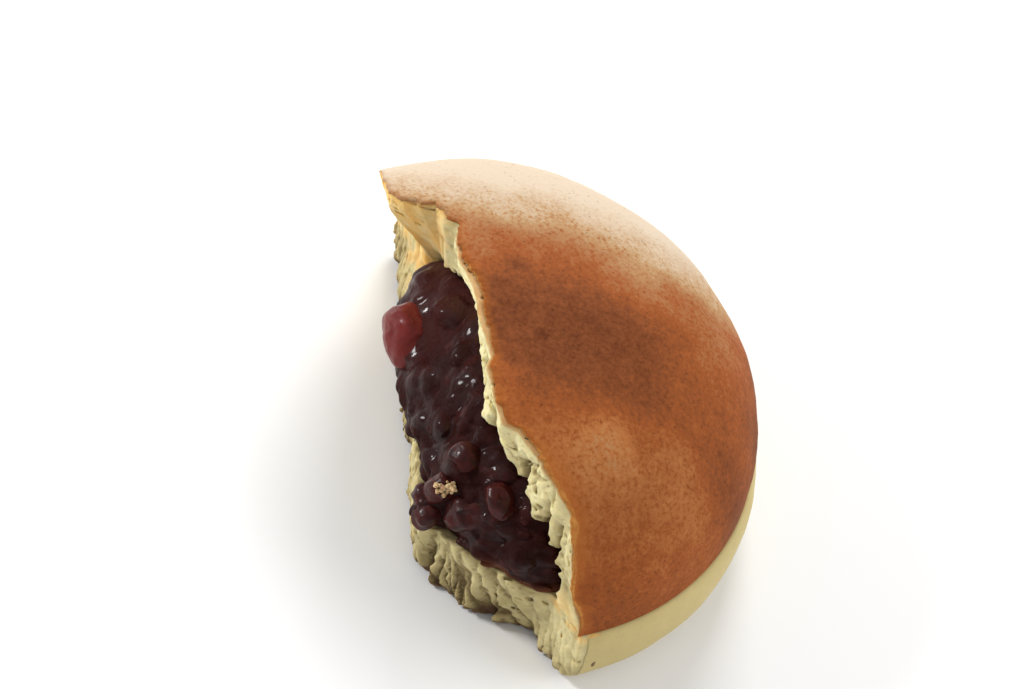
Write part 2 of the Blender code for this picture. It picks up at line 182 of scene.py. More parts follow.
class DorayakiColours(bpy.types.PropertyGroup):
    """Colours of the half."""

    # Partly the skin's real pale browning, partly painted light: the glow of the key light on that
    # side.
    skin_pale_lit: colour("Pale skin", "Where the top has hardly browned", (0.58, 0.47, 0.35))
    skin_tan: colour("Tan skin", "Lightly browned", (0.41, 0.245, 0.115))
    skin_warm: colour("Warm skin", "Between tan and brown on the browner side", (0.42, 0.155, 0.047))
    skin_brown: colour("Brown skin", "Most of the top", (0.295, 0.080, 0.0195))
    skin_deep: colour("Deep brown skin", "Well browned", (0.20, 0.057, 0.017))
    skin_dark: colour("Dark skin", "The most browned parts", (0.107, 0.0275, 0.0080))
    skin_torn: colour("Torn skin", "The orange border where the top was torn", (0.43, 0.130, 0.025))
    crumb: colour("Crumb", "Soft inside of the pancakes", (0.82, 0.72, 0.385))
    rim: colour("Rim", "Smooth side of the lower pancake", (0.52, 0.42, 0.185))
    # Painted shade for the crumb's hollows, grooves and pores. The first is also the rim's own darker
    # clouds.
    crumb_tone_and_shade: colour("Crumb hollows", "In the hollows of the torn crumb", (0.40, 0.32, 0.15))
    crumb_groove_shade: colour("Crumb grooves", "Deepest in the torn crumb", (0.14, 0.10, 0.042))
    golden: colour("Golden crumb", "Streaks where the crumb browned", (0.84, 0.46, 0.115))
    toast: colour("Toasted edge", "Where the crumb meets the browned skin", (0.42, 0.17, 0.045))
    sole: colour("Browned underside", "The torn edge of the underside", (0.080, 0.034, 0.020))
    paste: colour("Bean paste", "Dark boiled paste", (0.025, 0.0065, 0.0056))
    thin_paste: colour("Thin paste", "Where the paste soaks into the crumb", (0.16, 0.052, 0.024))
    # Painted sheen: the lighter paste toward the top at the far end.
    paste_sheen: colour("Dry paste", "Where the paste's face has dried", (0.050, 0.0135, 0.0120))
    bean: colour("Bean skin", "Reddest bean skins", (0.21, 0.026, 0.022))
    split_bean: colour("Split bean", "Mealy inside of a bean", (0.70, 0.52, 0.27))
    floor: colour("Floor", "The table", (0.90, 0.90, 0.90))


# ------------ shapes shared by the pieces


def smooth(value):
    """0 below 0, 1 above 1, and an even S between them."""
    t = np.clip(value, 0.0, 1.0)
    return t * t * (3.0 - 2.0 * t)


def ease(value, start, width):
    """0 up to start and 1 from a width past it, with an even S between. A width below 0 runs down."""
    return smooth((value - start) / width)


def points_of(*rows):
    """Points from their x, y and z."""
    return np.stack(np.broadcast_arrays(*rows), axis=-1)


def one_long(directions):
    """The same directions, each one long."""
    return directions / np.linalg.norm(directions, axis=-1, keepdims=True)


def on_ball(polar, turn):
    """Points on a ball of radius 1, at angles from its end and round it."""
    return points_of(np.sin(polar) * np.cos(turn), np.sin(polar) * np.sin(turn), np.cos(polar))


def along(line, x):
    """Height of a line of (x, y) points at x, a little eased from point to point."""
    xs, ys = np.array(line).T
    i = np.clip(np.searchsorted(xs, x, side="right"), 1, len(xs) - 1)
    t = np.clip((x - xs[i - 1]) / (xs[i] - xs[i - 1]), 0.0, 1.0)
    return ys[i - 1] + (ys[i] - ys[i - 1]) * 0.5 * (t + smooth(t))


def set_back(line, x, distance):
    """A line moved back by a distance square to itself, at x."""
    aside = distance * np.linspace(-1.0, 1.0, 21)[:, None]
    return (along(line, x[None, :] + aside) + np.sqrt(distance * distance - aside * aside)).max(axis=0)


def split_depth(x, splits):
    """How deep the splits run at x."""
    return sum(depth * np.maximum(0.0, 1.0 - np.abs(x - at) / half) for at, half, depth in splits)


def soft_max(a, b, radius):
    """The greater of two fields, with the corner between them rounded."""
    overlap = np.maximum(radius - np.abs(a - b), 0.0) / radius
    return np.maximum(a, b) + 0.25 * radius * overlap * overlap


def soft_min(a, b, radius):
    """The smaller of two fields, with the corner between them filled."""
    return -soft_max(-a, -b, radius)


def bulb_height(r, radius, rise, side, crown):
    """Height of a dome at a distance from its middle."""
    return rise * np.maximum(0.0, 1.0 - (r / radius) ** side) ** (1.0 / crown)


def bulb_slopes(r, h, radius, rise, side, crown):
    """Slopes of a dome's measure, outward and upward. Together they point straight out of it."""
    slope_r = side / radius * (r / radius) ** (side - 1.0)
    return slope_r, crown / rise * (h / rise) ** (crown - 1.0)


def bulb_distance(r, h, radius, rise, side, crown):
    """Roughly how far outside a dome a place is. Negative is inside."""
    r, h = np.maximum(r, 1e-3), np.maximum(h, 1e-3)
    value = (r / radius) ** side + (h / rise) ** crown - 1.0
    return value / np.maximum(np.hypot(*bulb_slopes(r, h, radius, rise, side, crown)), 0.012)


class Form:
    """The half's main surfaces, in millimetres."""

    def __init__(self, sizes):
        self.rim = sizes.rim_radius / MM
        self.seam = sizes.seam_height / MM
        self.rise = sizes.crown_height / MM - self.seam
        self.widest = self.rim + RIM_BULGE
        self.top = (self.rim, self.rise, DOME_SIDE_POWER, DOME_CROWN_POWER)

    def dome(self, radius):
        """Height of the browned top at a distance from the centre of the round."""
        return self.seam + bulb_height(radius, *self.top)

    def dome_distance(self, x, y, z):
        """How far outside the browned top a place is."""
        return bulb_distance(np.hypot(x, y), z - self.seam, *self.top)

    def roof(self, x, y):
        """Height of the pocket's roof."""
        return self.seam + bulb_height(np.hypot(x - POCKET_CENTRE, y), *POCKET)

    def pocket_distance(self, x, y, z):
        """How far outside the pocket a place is."""
        return bulb_distance(np.hypot(x - POCKET_CENTRE, y), z - self.seam, *POCKET)

    def rim_radius_at(self, z):
        """Radius of the lower pancake at a height."""
        below = np.clip((RIM_WIDEST - z) / RIM_WIDEST, 0.0, 1.0)
        above = np.clip((z - RIM_WIDEST) / (self.seam - RIM_WIDEST), 0.0, 1.0)
        under = (1.0 - below ** RIM_UNDER_POWER) ** (1.0 / RIM_UNDER_POWER)
        swell = np.sqrt(1.0 - above * above)
        lower_radius = FLAT_RADIUS + (self.widest - FLAT_RADIUS) * under
        return np.where(z < RIM_WIDEST, lower_radius, self.rim + RIM_BULGE * swell)

    def top_tear(self, x, z):
        """Torn face of the upper pancake, from the roof of the pocket out to the skin."""
        roof_y, skin_y = along(ROOF_TEAR, x), along(SKIN_TEAR, x)
        roof_z, skin_z = self.roof(x, roof_y), self.dome(np.hypot(x, skin_y))
        share = smooth((z - roof_z) / np.maximum(1.0, skin_z - roof_z))
        return roof_y + (skin_y - roof_y) * share

    def bottom_tear(self, x, z):
        """Torn face of the lower pancake, from its underside up to the filling."""
        share = smooth(z / self.seam)
        sole_y, floor_y = along(SOLE_TEAR, x), along(FLOOR_TEAR, x)
        return sole_y + (floor_y - sole_y) * share

    def paste_front(self, x, z):
        """Face of the filling, which leans back and bellies out between its foot and its crest."""
        foot, crest = along(PASTE_FOOT, x), along(PASTE_CREST, x)
        height = np.maximum(1.5, self.roof(x, crest) - self.seam)
        share = np.clip((z - self.seam) / height, 0.0, 1.0)
        belly = PASTE_SWELL * 4.0 * share * (1.0 - share) * np.minimum(1.0, height / POCKET_RISE)
        folds = PASTE_FOLDS * plane_noise(x, z, 4.0, 2.8, 11.0)
        return foot + (crest - foot) * share ** PASTE_LEAN - belly + folds


def seam_height(form, x):
    """Height where the two crumbs meet at x."""
    swells = 0.45 * plane_noise(x, 0.0, 2.6, 1.0, 25.0)
    return form.seam + swells + 0.2 * plane_noise(x, 0.0, 0.9, 1.0, 26.0)


def plane_noise(x, z, across, upward, layer):
    """The solids' own smooth noise at places on an upright plane."""
    x, z = np.broadcast_arrays(x, z)
    spots = zip((x / across).ravel(), (z / upward).ravel())
    return np.array([noise.noise((a, b, layer)) for a, b in spots]).reshape(x.shape)


def place_noise(points, cell, layer):
    """Smooth noise at places in space."""
    spots = (points / cell + 31.7 * layer).reshape(-1, 3).tolist()
    return np.array([noise.noise(spot) for spot in spots]).reshape(points.shape[:-1])


def mixed_noise(points, *layers):
    """Sum of noises in space, from the height, the size of the lumps and the layer of each."""
    return sum(height * place_noise(points, cell, layer) for height, cell, layer in layers)


def spline_weights(places, cell):
    """How much each point of a coarse row counts at each place, for cubic splines."""
    steps = places / cell
    first = np.floor(steps).astype(int)
    f = steps - first
    first -= first.min()
    shares = (
        (1.0 - f) ** 3, 3.0 * f**3 - 6.0 * f**2 + 4.0, -3.0 * f**3 + 3.0 * f**2 + 3.0 * f + 1.0, f**3)
    weights = np.zeros((len(places), first.max() + 4), np.float32)
    for step, share in enumerate(shares):
        weights[np.arange(len(places)), first + step] = share / 6.0
    return weights


def grid_noise(axes, cell, seed):
    """Smooth noise of about -1 to 1 on a block of places, with lumps of the cell's three sizes."""
    weights = [spline_weights(places, size) for places, size in zip(axes, cell)]
    draw = np.random.default_rng(seed)
    values = draw.standard_normal([w.shape[1] for w in weights]).astype(np.float32)
    for w in weights:
        values = np.tensordot(values, w, axes=(0, 1))
    return 1.7 * values


# ------------ meshes


def net_over(field):
    """Surface where a block of numbers goes from below 0 (inside) to above 0, as one net of quads."""
    inside = field < 0.0
    corners = sum(
        inside[i:i - 1 or None, j:j - 1 or None, k:k - 1 or None].astype(np.int8)
        for i in (0, 1) for j in (0, 1) for k in (0, 1))
    active = (corners > 0) & (corners < 8)
    cells = np.argwhere(active)
    index = np.full(active.shape, -1, np.int64)
    index[active] = np.arange(len(cells))
    total, hits = np.zeros((len(cells), 3)), np.zeros(len(cells))
    for axis in range(3):
        step = np.eye(3, dtype=int)[axis]
        for side in range(4):
            offset = np.insert([side & 1, side >> 1], axis, 0)
            a = field[tuple((cells + offset).T)]
            b = field[tuple((cells + offset + step).T)]
            crossed = (a < 0.0) != (b < 0.0)
            share = a[crossed] / (a[crossed] - b[crossed])
            total[crossed] += offset + share[:, None] * step
            hits[crossed] += 1.0
    quads = []
    for axis in range(3):
        across, up = (axis + 1) % 3, (axis + 2) % 3
        low = [slice(1, -1)] * 3
        low[axis] = slice(0, -1)
        high = list(low)
        high[axis] = slice(1, None)
        starts, ends = inside[tuple(low)], inside[tuple(high)]
        edges = np.argwhere(starts != ends)
        outward = starts[tuple(edges.T)]
        edges += np.where(np.arange(3) == axis, 0, 1)
        du, dv = np.eye(3, dtype=int)[across], np.eye(3, dtype=int)[up]
        ring = [index[tuple((edges - back).T)] for back in (0 * du, du, du + dv, dv)]
        ring = np.stack(ring, axis=1)
        quads.append(np.where(outward[:, None], ring, ring[:, ::-1]))
    return cells + total / hits[:, None], np.concatenate(quads)


def largest_body(count, quads):
    """Which points belong to the largest joined part of a net."""
    label = np.arange(count)
    while True:
        low = label[quads].min(axis=1)
        new = label.copy()
        np.minimum.at(new, quads.ravel(), np.repeat(low, 4))
        new = new[new]
        if (new == label).all():
            break
        label = new
    return label == np.bincount(label).argmax()


def block_axes(low, high, pitch):
    """Rows of places that fill a box."""
    return [np.arange(a, b + pitch, pitch) for a, b in zip(low, high)]


def carve(field, axes):
    """Net over a field on a block of places, without loose scraps. Gives points and quads."""
    points, quads = net_over(field)
    kept = largest_body(len(points), quads)
    renumber = np.cumsum(kept) - 1
    quads = renumber[quads[kept[quads[:, 0]]]]
    pitch = np.array([row[1] - row[0] for row in axes])
    corner = np.array([row[0] for row in axes])
    return corner + points[kept] * pitch, quads


def mesh_object(name, points, faces, material, **attributes):
    """A smooth mesh object in metres from points in millimetres, which rides on the body."""
    mesh = bpy.data.meshes.new(name)
    faces = faces if isinstance(faces, list) else faces.tolist()
    mesh.from_pydata(np.reshape(points, (-1, 3)) * MM, [], faces)
    for key, values in attributes.items():
        values = np.asarray(values, np.float32).ravel()
        mesh.attributes.new(key, "FLOAT", "POINT").data.foreach_set("value", values)
    mesh.validate()
    mesh.shade_smooth()
    mesh.materials.append(material)
    obj = bpy.data.objects.new(name, mesh)
    bpy.context.scene.collection.objects.link(obj)
    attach(obj, "root")
    return obj


def ring_quads(count, around):
    """Quads between neighbouring closed loops, and the numbers of the points in each loop."""
    index = np.arange(count * around).reshape(count, around)
    nxt = np.roll(index, -1, axis=1)
    return np.stack([index[:-1], nxt[:-1], nxt[1:], index[1:]], axis=-1).reshape(-1, 4), index


def loft(loops):
    """Quads between neighbouring closed loops of points, and a flat end on the first and last."""
    quads, index = ring_quads(*loops.shape[:2])
    return quads.tolist() + [index[0, ::-1].tolist(), index[-1].tolist()]


# ------------ materials


class Value:
    """A value in a material. The usual signs between values and numbers make nodes for them."""

    def __init__(self, socket):
        self.socket = socket

    def calc(self, operation, a, b):
        """One sum on two values, as a node of this value's material."""
        return Value(add(self.socket.id_data, "Math", {"operation": operation}, _0=a, _1=b).outputs[0])

    def __add__(self, other):
        return self.calc("ADD", self, other)

    def __sub__(self, other):
        return self.calc("SUBTRACT", self, other)

    def __rsub__(self, other):
        return self.calc("SUBTRACT", other, self)

    def __mul__(self, other):
        return self.calc("MULTIPLY", self, other)

    def __truediv__(self, other):
        return self.calc("DIVIDE", self, other)

    def __lt__(self, other):
        return self.calc("LESS_THAN", self, other)

    def kept(self):
        """The same value, kept between 0 and 1."""
        self.socket.node.use_clamp = True
        return self


def connect(socket, value):
    """Link a value to an input, or write a plain number or colour in it."""
    if isinstance(value, Value):
        socket.id_data.links.new(value.socket, socket)
    else:
        socket.default_value = (*value, 1.0) if hasattr(value, "__len__") else value


def add(tree, kind, settings=None, **inputs):
    """A shader node. Its inputs are given by name, or by number after a low line."""
    node = tree.nodes.new("ShaderNode" + kind)
    for key, value in (settings or {}).items():
        setattr(node, key, value)
    for key, value in inputs.items():
        connect(node.inputs[int(key[1:]) if key[0] == "_" else key.replace("_", " ")], value)
    return node


class Look:
    """A food's material, while it is put together.

    glow is how far red, green and blue light spread under the surface, in millimetres.
    """

    def __init__(self, name, roughness, glow, **inputs):
        self.material = bpy.data.materials.new(name)
        self.material.use_nodes = True
        self.tree = self.material.node_tree
        self.inputs = self.tree.nodes["Principled BSDF"].inputs
        self.inputs["Roughness"].default_value = roughness
        self.inputs["Subsurface Radius"].default_value = glow
        self.inputs["Subsurface Scale"].default_value = MM
        for key, value in inputs.items():
            self.inputs[key.replace("_", " ")].default_value = value
        place = Value(add(self.tree, "TexCoord").outputs["Object"])
        scaled = add(self.tree, "VectorMath", {"operation": "SCALE"}, _0=place, Scale=1.0 / MM)
        self.place = Value(scaled.outputs[0])

    def attribute(self, name):
        """A value kept on the mesh's points."""
        return Value(add(self.tree, "Attribute", {"attribute_name": name}).outputs["Fac"])

    def grain(self, size, detail=2.0, distortion=0.0, roughness=0.55):
        """Cloudy noise with lumps of a size in millimetres."""
        return Value(add(self.tree, "TexNoise", Vector=self.place, Scale=1.0 / size, Detail=detail,
                         Distortion=distortion, Roughness=roughness).outputs["Fac"])

    def pores(self, size, width, share):
        """1 in the middle of small round pores, in a share of the cells, and 0 outside them."""
        cells = add(self.tree, "TexVoronoi", Vector=self.place, Scale=1.0 / size)
        parts = add(self.tree, "SeparateColor", Color=Value(cells.outputs["Color"]))
        soft = (1.0 - Value(cells.outputs["Distance"]) / width).kept()
        return soft * (Value(parts.outputs[0]) < share)

    def blend(self, share, a, b):
        """Colour between a and b."""
        return Value(add(self.tree, "Mix", {"data_type": "RGBA"}, _0=share, _6=a, _7=b).outputs[2])

    def ramp(self, value, *stops):
        """Colours or greys along a value."""
        node = add(self.tree, "ValToRGB", Fac=value)
        elements = node.color_ramp.elements
        while len(elements) < len(stops):
            elements.new(0.5)
        for element, (at, shade) in zip(elements, stops):
            element.position = at
            element.color = (*shade, 1.0) if hasattr(shade, "__len__") else (shade, shade, shade, 1.0)
        return Value(node.outputs[0])

    def finish(self, base, height=None, strength=0.0, depth=0.0):
        """The material, with its colour and a fine relief as deep as depth in millimetres."""
        connect(self.inputs["Base Color"], base)
        if height is not None:
            bump = add(self.tree, "Bump", Strength=strength, Distance=depth * MM, Height=height)
            connect(self.inputs["Normal"], Value(bump.outputs[0]))
        return self.material


def skin_material(colours):
    """Browned skin: finely mottled, dotted with pores, and orange where it was torn."""
    look = Look("browned_skin", 0.65, (1.0, 0.4, 0.2), Specular_IOR_Level=0.05, Subsurface_Weight=0.05)
    torn, browned = look.attribute("torn"), look.attribute("browning")
    mottle = look.grain(0.7, 3.0, 0.3, 0.7) - 0.5
    specks = ((mottle - 0.03) * 3.0).kept() * (1.0 - browned).kept()
    uneven = specks * 0.55 + mottle * 0.55
    uneven = uneven + (look.grain(2.4) - 0.5) * 0.30 + (look.grain(9.0) - 0.5) * 0.18
    browning = browned - 0.03 + uneven * look.attribute("speckle")
    # The pale end is partly painted light, on the side of the round that faces the key light.
    pale_lit_end = ((0.0, colours.skin_pale_lit), (0.30, colours.skin_tan))
    warm = ((0.44, colours.skin_warm),)
    brown_end = ((0.60, colours.skin_brown), (0.76, colours.skin_deep), (1.0, colours.skin_dark))
    # Painted sheen: toward the key light's side the browns lose their orange and look duller, as under
    # a sheen.
    shade = look.blend(look.attribute("warmth"), look.ramp(browning, *pale_lit_end, *brown_end),
                       look.ramp(browning, *pale_lit_end, *warm, *brown_end))
    shade = look.blend(torn * 0.6, shade, colours.skin_torn)
    frayed = ((torn + mottle * 0.35 - 0.90) * 5.0).kept()
    shade = look.blend(frayed * 0.55, shade, colours.golden)
    dots = (look.pores(1.3, 0.22, 0.35) * 0.8 + look.pores(0.7, 0.32, 0.30) * 0.5).kept()
    dots = dots * (0.8 - torn * 0.8)
    return look.finish(look.blend(dots, shade, colours.skin_dark), mottle - dots * 0.9, 0.5, 0.16)


def crumb_material(colours, name, toast):
    """Torn crumb: soft and pale yellow, with painted shade in its hollows, grooves and pores, toasted
    next to the skin.
    """
    look = Look(name, 0.85, (1.4, 1.0, 0.5), Specular_IOR_Level=0.15, Subsurface_Weight=0.45)
    lumps = look.grain(1.6, 3.0) - 0.5
    holes = look.pores(0.9, 0.42, 0.4)
    # Painted shade: darker in the hollows and deepest in the grooves.
    hollow = (look.attribute("hollow") + lumps * 0.5).kept()
    base = look.ramp(
        hollow, (0.0, colours.crumb), (0.65, colours.crumb_tone_and_shade), (1.0, colours.crumb_groove_shade))
    # Painted shade in the pores, which the bump also dents.
    base = look.blend(holes * 0.4, base, colours.crumb_tone_and_shade)
    base = look.blend(look.attribute("stain"), base, colours.golden)
    edge = look.attribute("crust") + lumps * 0.9
    base = look.blend(look.ramp(edge, (0.0, 0.75), (0.25, 0.4), (0.6, 0.0)), base, toast)
    return look.finish(base, look.grain(0.45, 4.0, 0.0, 0.7) - holes, 0.5, 0.25)


def rim_material(colours):
    """Rim and underside of the lower pancake: smooth and pale at the side, browned below."""
    look = Look("pale_rim", 0.6, (1.3, 0.9, 0.4), Specular_IOR_Level=0.15, Subsurface_Weight=0.2)
    clouds = ((look.grain(3.0, 3.0) - 0.35) * 0.6).kept()
    holes = look.pores(1.1, 0.25, 0.4)
    base = look.blend(clouds, colours.rim, colours.crumb_tone_and_shade)
    # Painted shade in the rim's pores. The darker clouds above are the rim's own tone.
    base = look.blend(holes * 0.35, base, colours.crumb_tone_and_shade)
    browned = look.attribute("browning")
    speckle = (look.grain(1.2, 3.0, 1.0, 0.6) - 0.5) * 0.5
    shade = look.ramp(browned + speckle,
                      (0.0, colours.skin_tan), (0.62, colours.skin_brown), (1.0, colours.skin_dark))
    base = look.blend(((browned + speckle * 0.6) * 2.2).kept(), base, shade)
    return look.finish(base, look.grain(0.8, 3.0) - holes, 0.35, 0.12)


def paste_material(colours):
    """Dark bean paste: moist in places, with reddish smears of bean skin."""
    look = Look("bean_paste", 0.40, (1.0, 0.25, 0.2), Specular_IOR_Level=0.04, Coat_Roughness=0.12,
                Subsurface_Weight=0.06)
    red = ((look.grain(3.5, 3.0, 0.6) - 0.5) * 0.5).kept()
    base = look.blend(red, colours.paste, colours.bean)
    # Painted sheen toward the top at the far end.
    base = look.blend(look.attribute("drier") * 0.8, base, colours.paste_sheen)
    base = look.blend(look.attribute("thin") * 0.8, base, colours.thin_paste)
    moist = ((look.grain(5.0) - 0.46) * 4.0).kept() * 0.40
    connect(look.inputs["Coat Weight"], moist)
    return look.finish(base, look.grain(0.9, 4.0, 0.6, 0.65), 0.8, 0.35)


def bean_material(colours):
    """Boiled bean skin: glossy and translucent, from dark to red."""
    look = Look("bean_skin", 0.32, (1.6, 0.35, 0.25), Specular_IOR_Level=0.12, Coat_Weight=0.15,
                Coat_Roughness=0.12, Subsurface_Weight=0.2)
    red = (look.attribute("red") + (look.grain(2.2, 3.0, 0.5) - 0.5) * 0.6).kept()
    base = look.blend(red, colours.paste, colours.bean)
    return look.finish(base, look.grain(1.1, 3.0, 0.6), 0.5, 0.3)


def meal_material(colours):
    """Mealy inside of a split bean."""
    look = Look("bean_meal", 0.6, (1.0, 0.5, 0.3), Specular_IOR_Level=0.3, Subsurface_Weight=0.3)
    smear = ((look.grain(0.5, 3.0) - 0.42) * 3.0).kept()
    return look.finish(look.blend(smear, colours.split_bean, colours.bean))


# ------------ pieces

SKIN_COLUMNS = 480           # points of the skin along the tear
SKIN_ROWS = 150              # and from the tear down to the rim
INNER_ROWS = 16              # the same for its hidden inner side
TORN_END = 0.985             # share of the rim's radius where the tear starts and ends
ORANGE_FROM = -22.0          # x from which the skin is orange along the tear
BROWN_RING = 40.0            # radius from which the skin browns a little more
# That side faces the key light. Its paleness is partly real lighter browning and partly painted light.
PALE_LIT_SIDE = radians(152.0)   # the side of the round that hardly browned
BROWNING = (                 # how far toward that side, in millimetres, and how browned there
    (-45.0, 0.64), (-36.0, 0.60), (-28.0, 0.59), (-23.0, 0.57), (-19.5, 0.63), (-16.0, 0.76),
    (-12.0, 0.87), (-6.0, 0.90), (-1.0, 0.89), (2.5, 0.83), (5.0, 0.74), (8.0, 0.64), (11.0, 0.60),
    (14.0, 0.50), (17.0, 0.33), (19.0, 0.24), (22.0, 0.15), (26.0, 0.05), (30.0, 0.0), (45.0, 0.0),
)
SKIN_PATCHES = (             # x, y and radius of a patch, and how much more browned it is
    (16.0, 28.0, 16.0, -0.24), (13.0, -8.0, 7.0, -0.16), (-11.0, -4.0, 7.0, -0.08),
    (24.0, 20.0, 13.0, -0.10), (24.0, 35.0, 12.0, -0.06), (31.0, 20.0, 12.0, -0.07),
    (27.5, 5.0, 12.0, -0.13), (8.0, 43.0, 8.0, 0.12), (-4.0, 40.0, 9.0, 0.07), (0.0, 20.0, 8.0, -0.09),
    (-15.0, 13.0, 6.0, 0.05), (30.0, 36.0, 11.0, -0.20),
    (7.5, 1.5, 1.6, 0.18), (-6.0, 2.4, 2.6, 0.16), (-33.0, -7.5, 5.0, 0.06), (-28.0, 7.0, 8.0, -0.05),
)
SPECKLE = (                  # browning, and how uneven it is there
    (0.0, 0.15), (0.12, 0.4), (0.30, 0.9), (0.46, 0.6), (0.62, 0.6), (0.78, 0.9),
)


def ragged(x, layer, coarse, fine):
    """Wander of a torn edge along x."""
    layers = ((coarse, 1.9, 0.0), (fine, 0.7, 0.5), (0.6 * fine, 0.33, 0.7))
    return sum(size * plane_noise(x, 0.5, across, 1.0, layer + more) for size, across, more in layers)


def dome_points(form, plan):
    """Points of the browned top above places seen from above, and the way out at each."""
    x, y = np.moveaxis(plan, -1, 0)
    r = np.hypot(x, y)
    height = form.dome(r)
    slope_r, slope_z = bulb_slopes(r, np.maximum(height - form.seam, 0.0), *form.top)
    r = np.maximum(r, 1e-6)
    return points_of(x, y, height), one_long(points_of(x / r * slope_r, y / r * slope_r, slope_z))


def skin_plan(form):
    """Places of the skin seen from above, in lines from the tear to the rim."""
    u = np.linspace(0.0, 1.0, SKIN_COLUMNS)
    x = -TORN_END * form.rim * np.cos(pi * (0.35 * u + 0.65 * np.arccos(1.0 - 2.0 * u) / pi))
    tear = points_of(x, along(SKIN_TEAR, x) + ragged(x, 5, 0.5, 0.3))
    first = pi - np.arcsin(ROOF_TEAR[0][1] / form.rim)
    last = np.arcsin(ROOF_TEAR[-1][1] / form.rim)
    angle = first + (last - first) * u
    rim = form.rim * points_of(np.cos(angle), np.sin(angle))
    v = np.sin(0.5 * pi * np.linspace(0.0, 1.0, SKIN_ROWS)) ** 0.8
    return tear[:, None] + (rim - tear)[:, None] * v[:, None]


def skin_browning(points):
    """How browned the skin is, how uneven, how warm its brown, and how orange along the tear."""
    x, y = points[..., 0], points[..., 1]
    to_pale_lit_side = x * cos(PALE_LIT_SIDE) + y * sin(PALE_LIT_SIDE)
    wander = mixed_noise(points, (2.0, 9.0, 11.0), (0.9, 3.5, 12.0))
    browning = np.interp(to_pale_lit_side + wander, *zip(*BROWNING))
    for at_x, at_y, radius, change in SKIN_PATCHES:
        browning = browning + change * (1.0 - smooth(np.hypot(x - at_x, y - at_y) / radius))
    browning = browning + 0.10 * ease(np.hypot(x, y), BROWN_RING, 6.0)
    wide = 2.0 + mixed_noise(points, (1.6, 3.0, 13.0), (1.0, 1.1, 14.0))
    wide = wide + 2.5 * ease(x, 20.0, 10.0) - 1.8 * ease(x, 37.0, 5.0)
    behind = y - along(SKIN_TEAR, x)
    torn = (1.0 - smooth(behind / wide)) * ease(x, ORANGE_FROM, 16.0)
    fringe = 0.20 + 0.45 * np.clip(place_noise(points, 1.6, 15.0), -0.2, 1.0)
    torn = np.maximum(torn, 0.6 * (1.0 - smooth(behind / fringe)))
    # Warmth is 0 on the lit side, where the duller browns are painted sheen, and 1 away from it.
    warmth = ease(to_pale_lit_side, -4.0, -10.0)
    return browning, np.interp(browning, *zip(*SPECKLE)), warmth, torn


def make_skin(sizes, colours):
    """Browned skin of the upper pancake."""
    form = Form(sizes)
    plan = skin_plan(form)
    outer, out = dome_points(form, plan)
    swell = sizes.skin_waviness / MM * place_noise(outer, 14.0, 1.0)
    swell += mixed_noise(outer, (0.10, 4.0, 2.0), (0.045, 1.3, 3.0))
    level = (outer[..., 2] - form.seam) / form.rise
    swell *= smooth(level / 0.05)
    run = np.linalg.norm(outer - outer[:, :1], axis=-1)
    lift = 0.12 * np.exp(-(run / 1.0) ** 2) * place_noise(outer, 3.0, 4.0)
    surface = outer + out * (swell + lift)[..., None]
    inner, inner_out = dome_points(form, plan[:, np.linspace(0, SKIN_ROWS - 1, INNER_ROWS).astype(int)])
    inner = inner - inner_out * (sizes.skin_thickness / MM)
    tuck = surface[:, -1:] + np.array([0.0, 0.0, -0.6]) - 0.3 * out[:, -1:]
    loops = np.concatenate([surface, tuck, inner[:, ::-1]], axis=1)
    browning, speckle, warmth, torn = skin_browning(loops)
    obj = mesh_object("browned_skin", loops, loft(loops), skin_material(colours),
                      browning=browning, speckle=speckle, warmth=warmth, torn=torn)
    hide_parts("top_pancake")


def near(axes, centre, reach):
    """The part of a block that is within reach of a centre, and how far its places are from it."""
    spans = tuple(slice(*np.searchsorted(row, (c - reach, c + reach))) for row, c in zip(axes, centre))
    return spans, np.ix_(*(row[span] - c for row, span, c in zip(axes, spans, centre)))


def bubbles(field, axes, count, radii, depth, seed):
    """Open round bubbles cut into the front of a block of crumb."""
    draw = np.random.default_rng(seed)
    low = [row[0] for row in axes]
    high = [row[-1] for row in axes]
    for _ in range(count):
        centre = [draw.uniform(low[0], high[0]), draw.uniform(*depth), draw.uniform(low[2], high[2])]
        if noise.noise([place / 6.0 for place in centre]) < draw.uniform(-0.3, 0.2):
            continue
        radius = radii[0] + (radii[1] - radii[0]) * draw.random() ** 2.5
        spans, (x, y, z) = near(axes, centre, 1.5 * radius)
        gap = np.sqrt(x ** 2 + y ** 2 + 0.8 * z ** 2)
        field[spans] = soft_max(field[spans], radius - gap, 0.2)


def chunks(axes, size, seed):
    """Distances from each place of a block to the nearest and the next of many scattered centres.

    size is their spacing along each axis. Along an axis with no spacing the pattern stays the same.
    """
    draw = np.random.default_rng(seed)
    rows = [row / step if step else 0.0 * row for row, step in zip(axes, size)]
    cells = [np.arange(np.floor(row[0]) - 1.0, np.floor(row[-1]) + 2.0) if step else np.zeros(1)
             for row, step in zip(rows, size)]
    centres = np.stack(np.meshgrid(*cells, indexing="ij"), axis=-1).reshape(-1, 3)
    centres += draw.uniform(0.0, 1.0, centres.shape) * (np.array(size) > 0.0)
    nearest = np.full([len(row) for row in rows], 2.0, np.float32)
    second = nearest.copy()
    for centre in centres:
        spans, (x, y, z) = near(rows, centre, 1.5)
        gap = np.sqrt(x ** 2 + y ** 2 + z ** 2)
        second[spans] = np.minimum(second[spans], np.maximum(nearest[spans], gap))
        nearest[spans] = np.minimum(nearest[spans], gap)
    return nearest, second


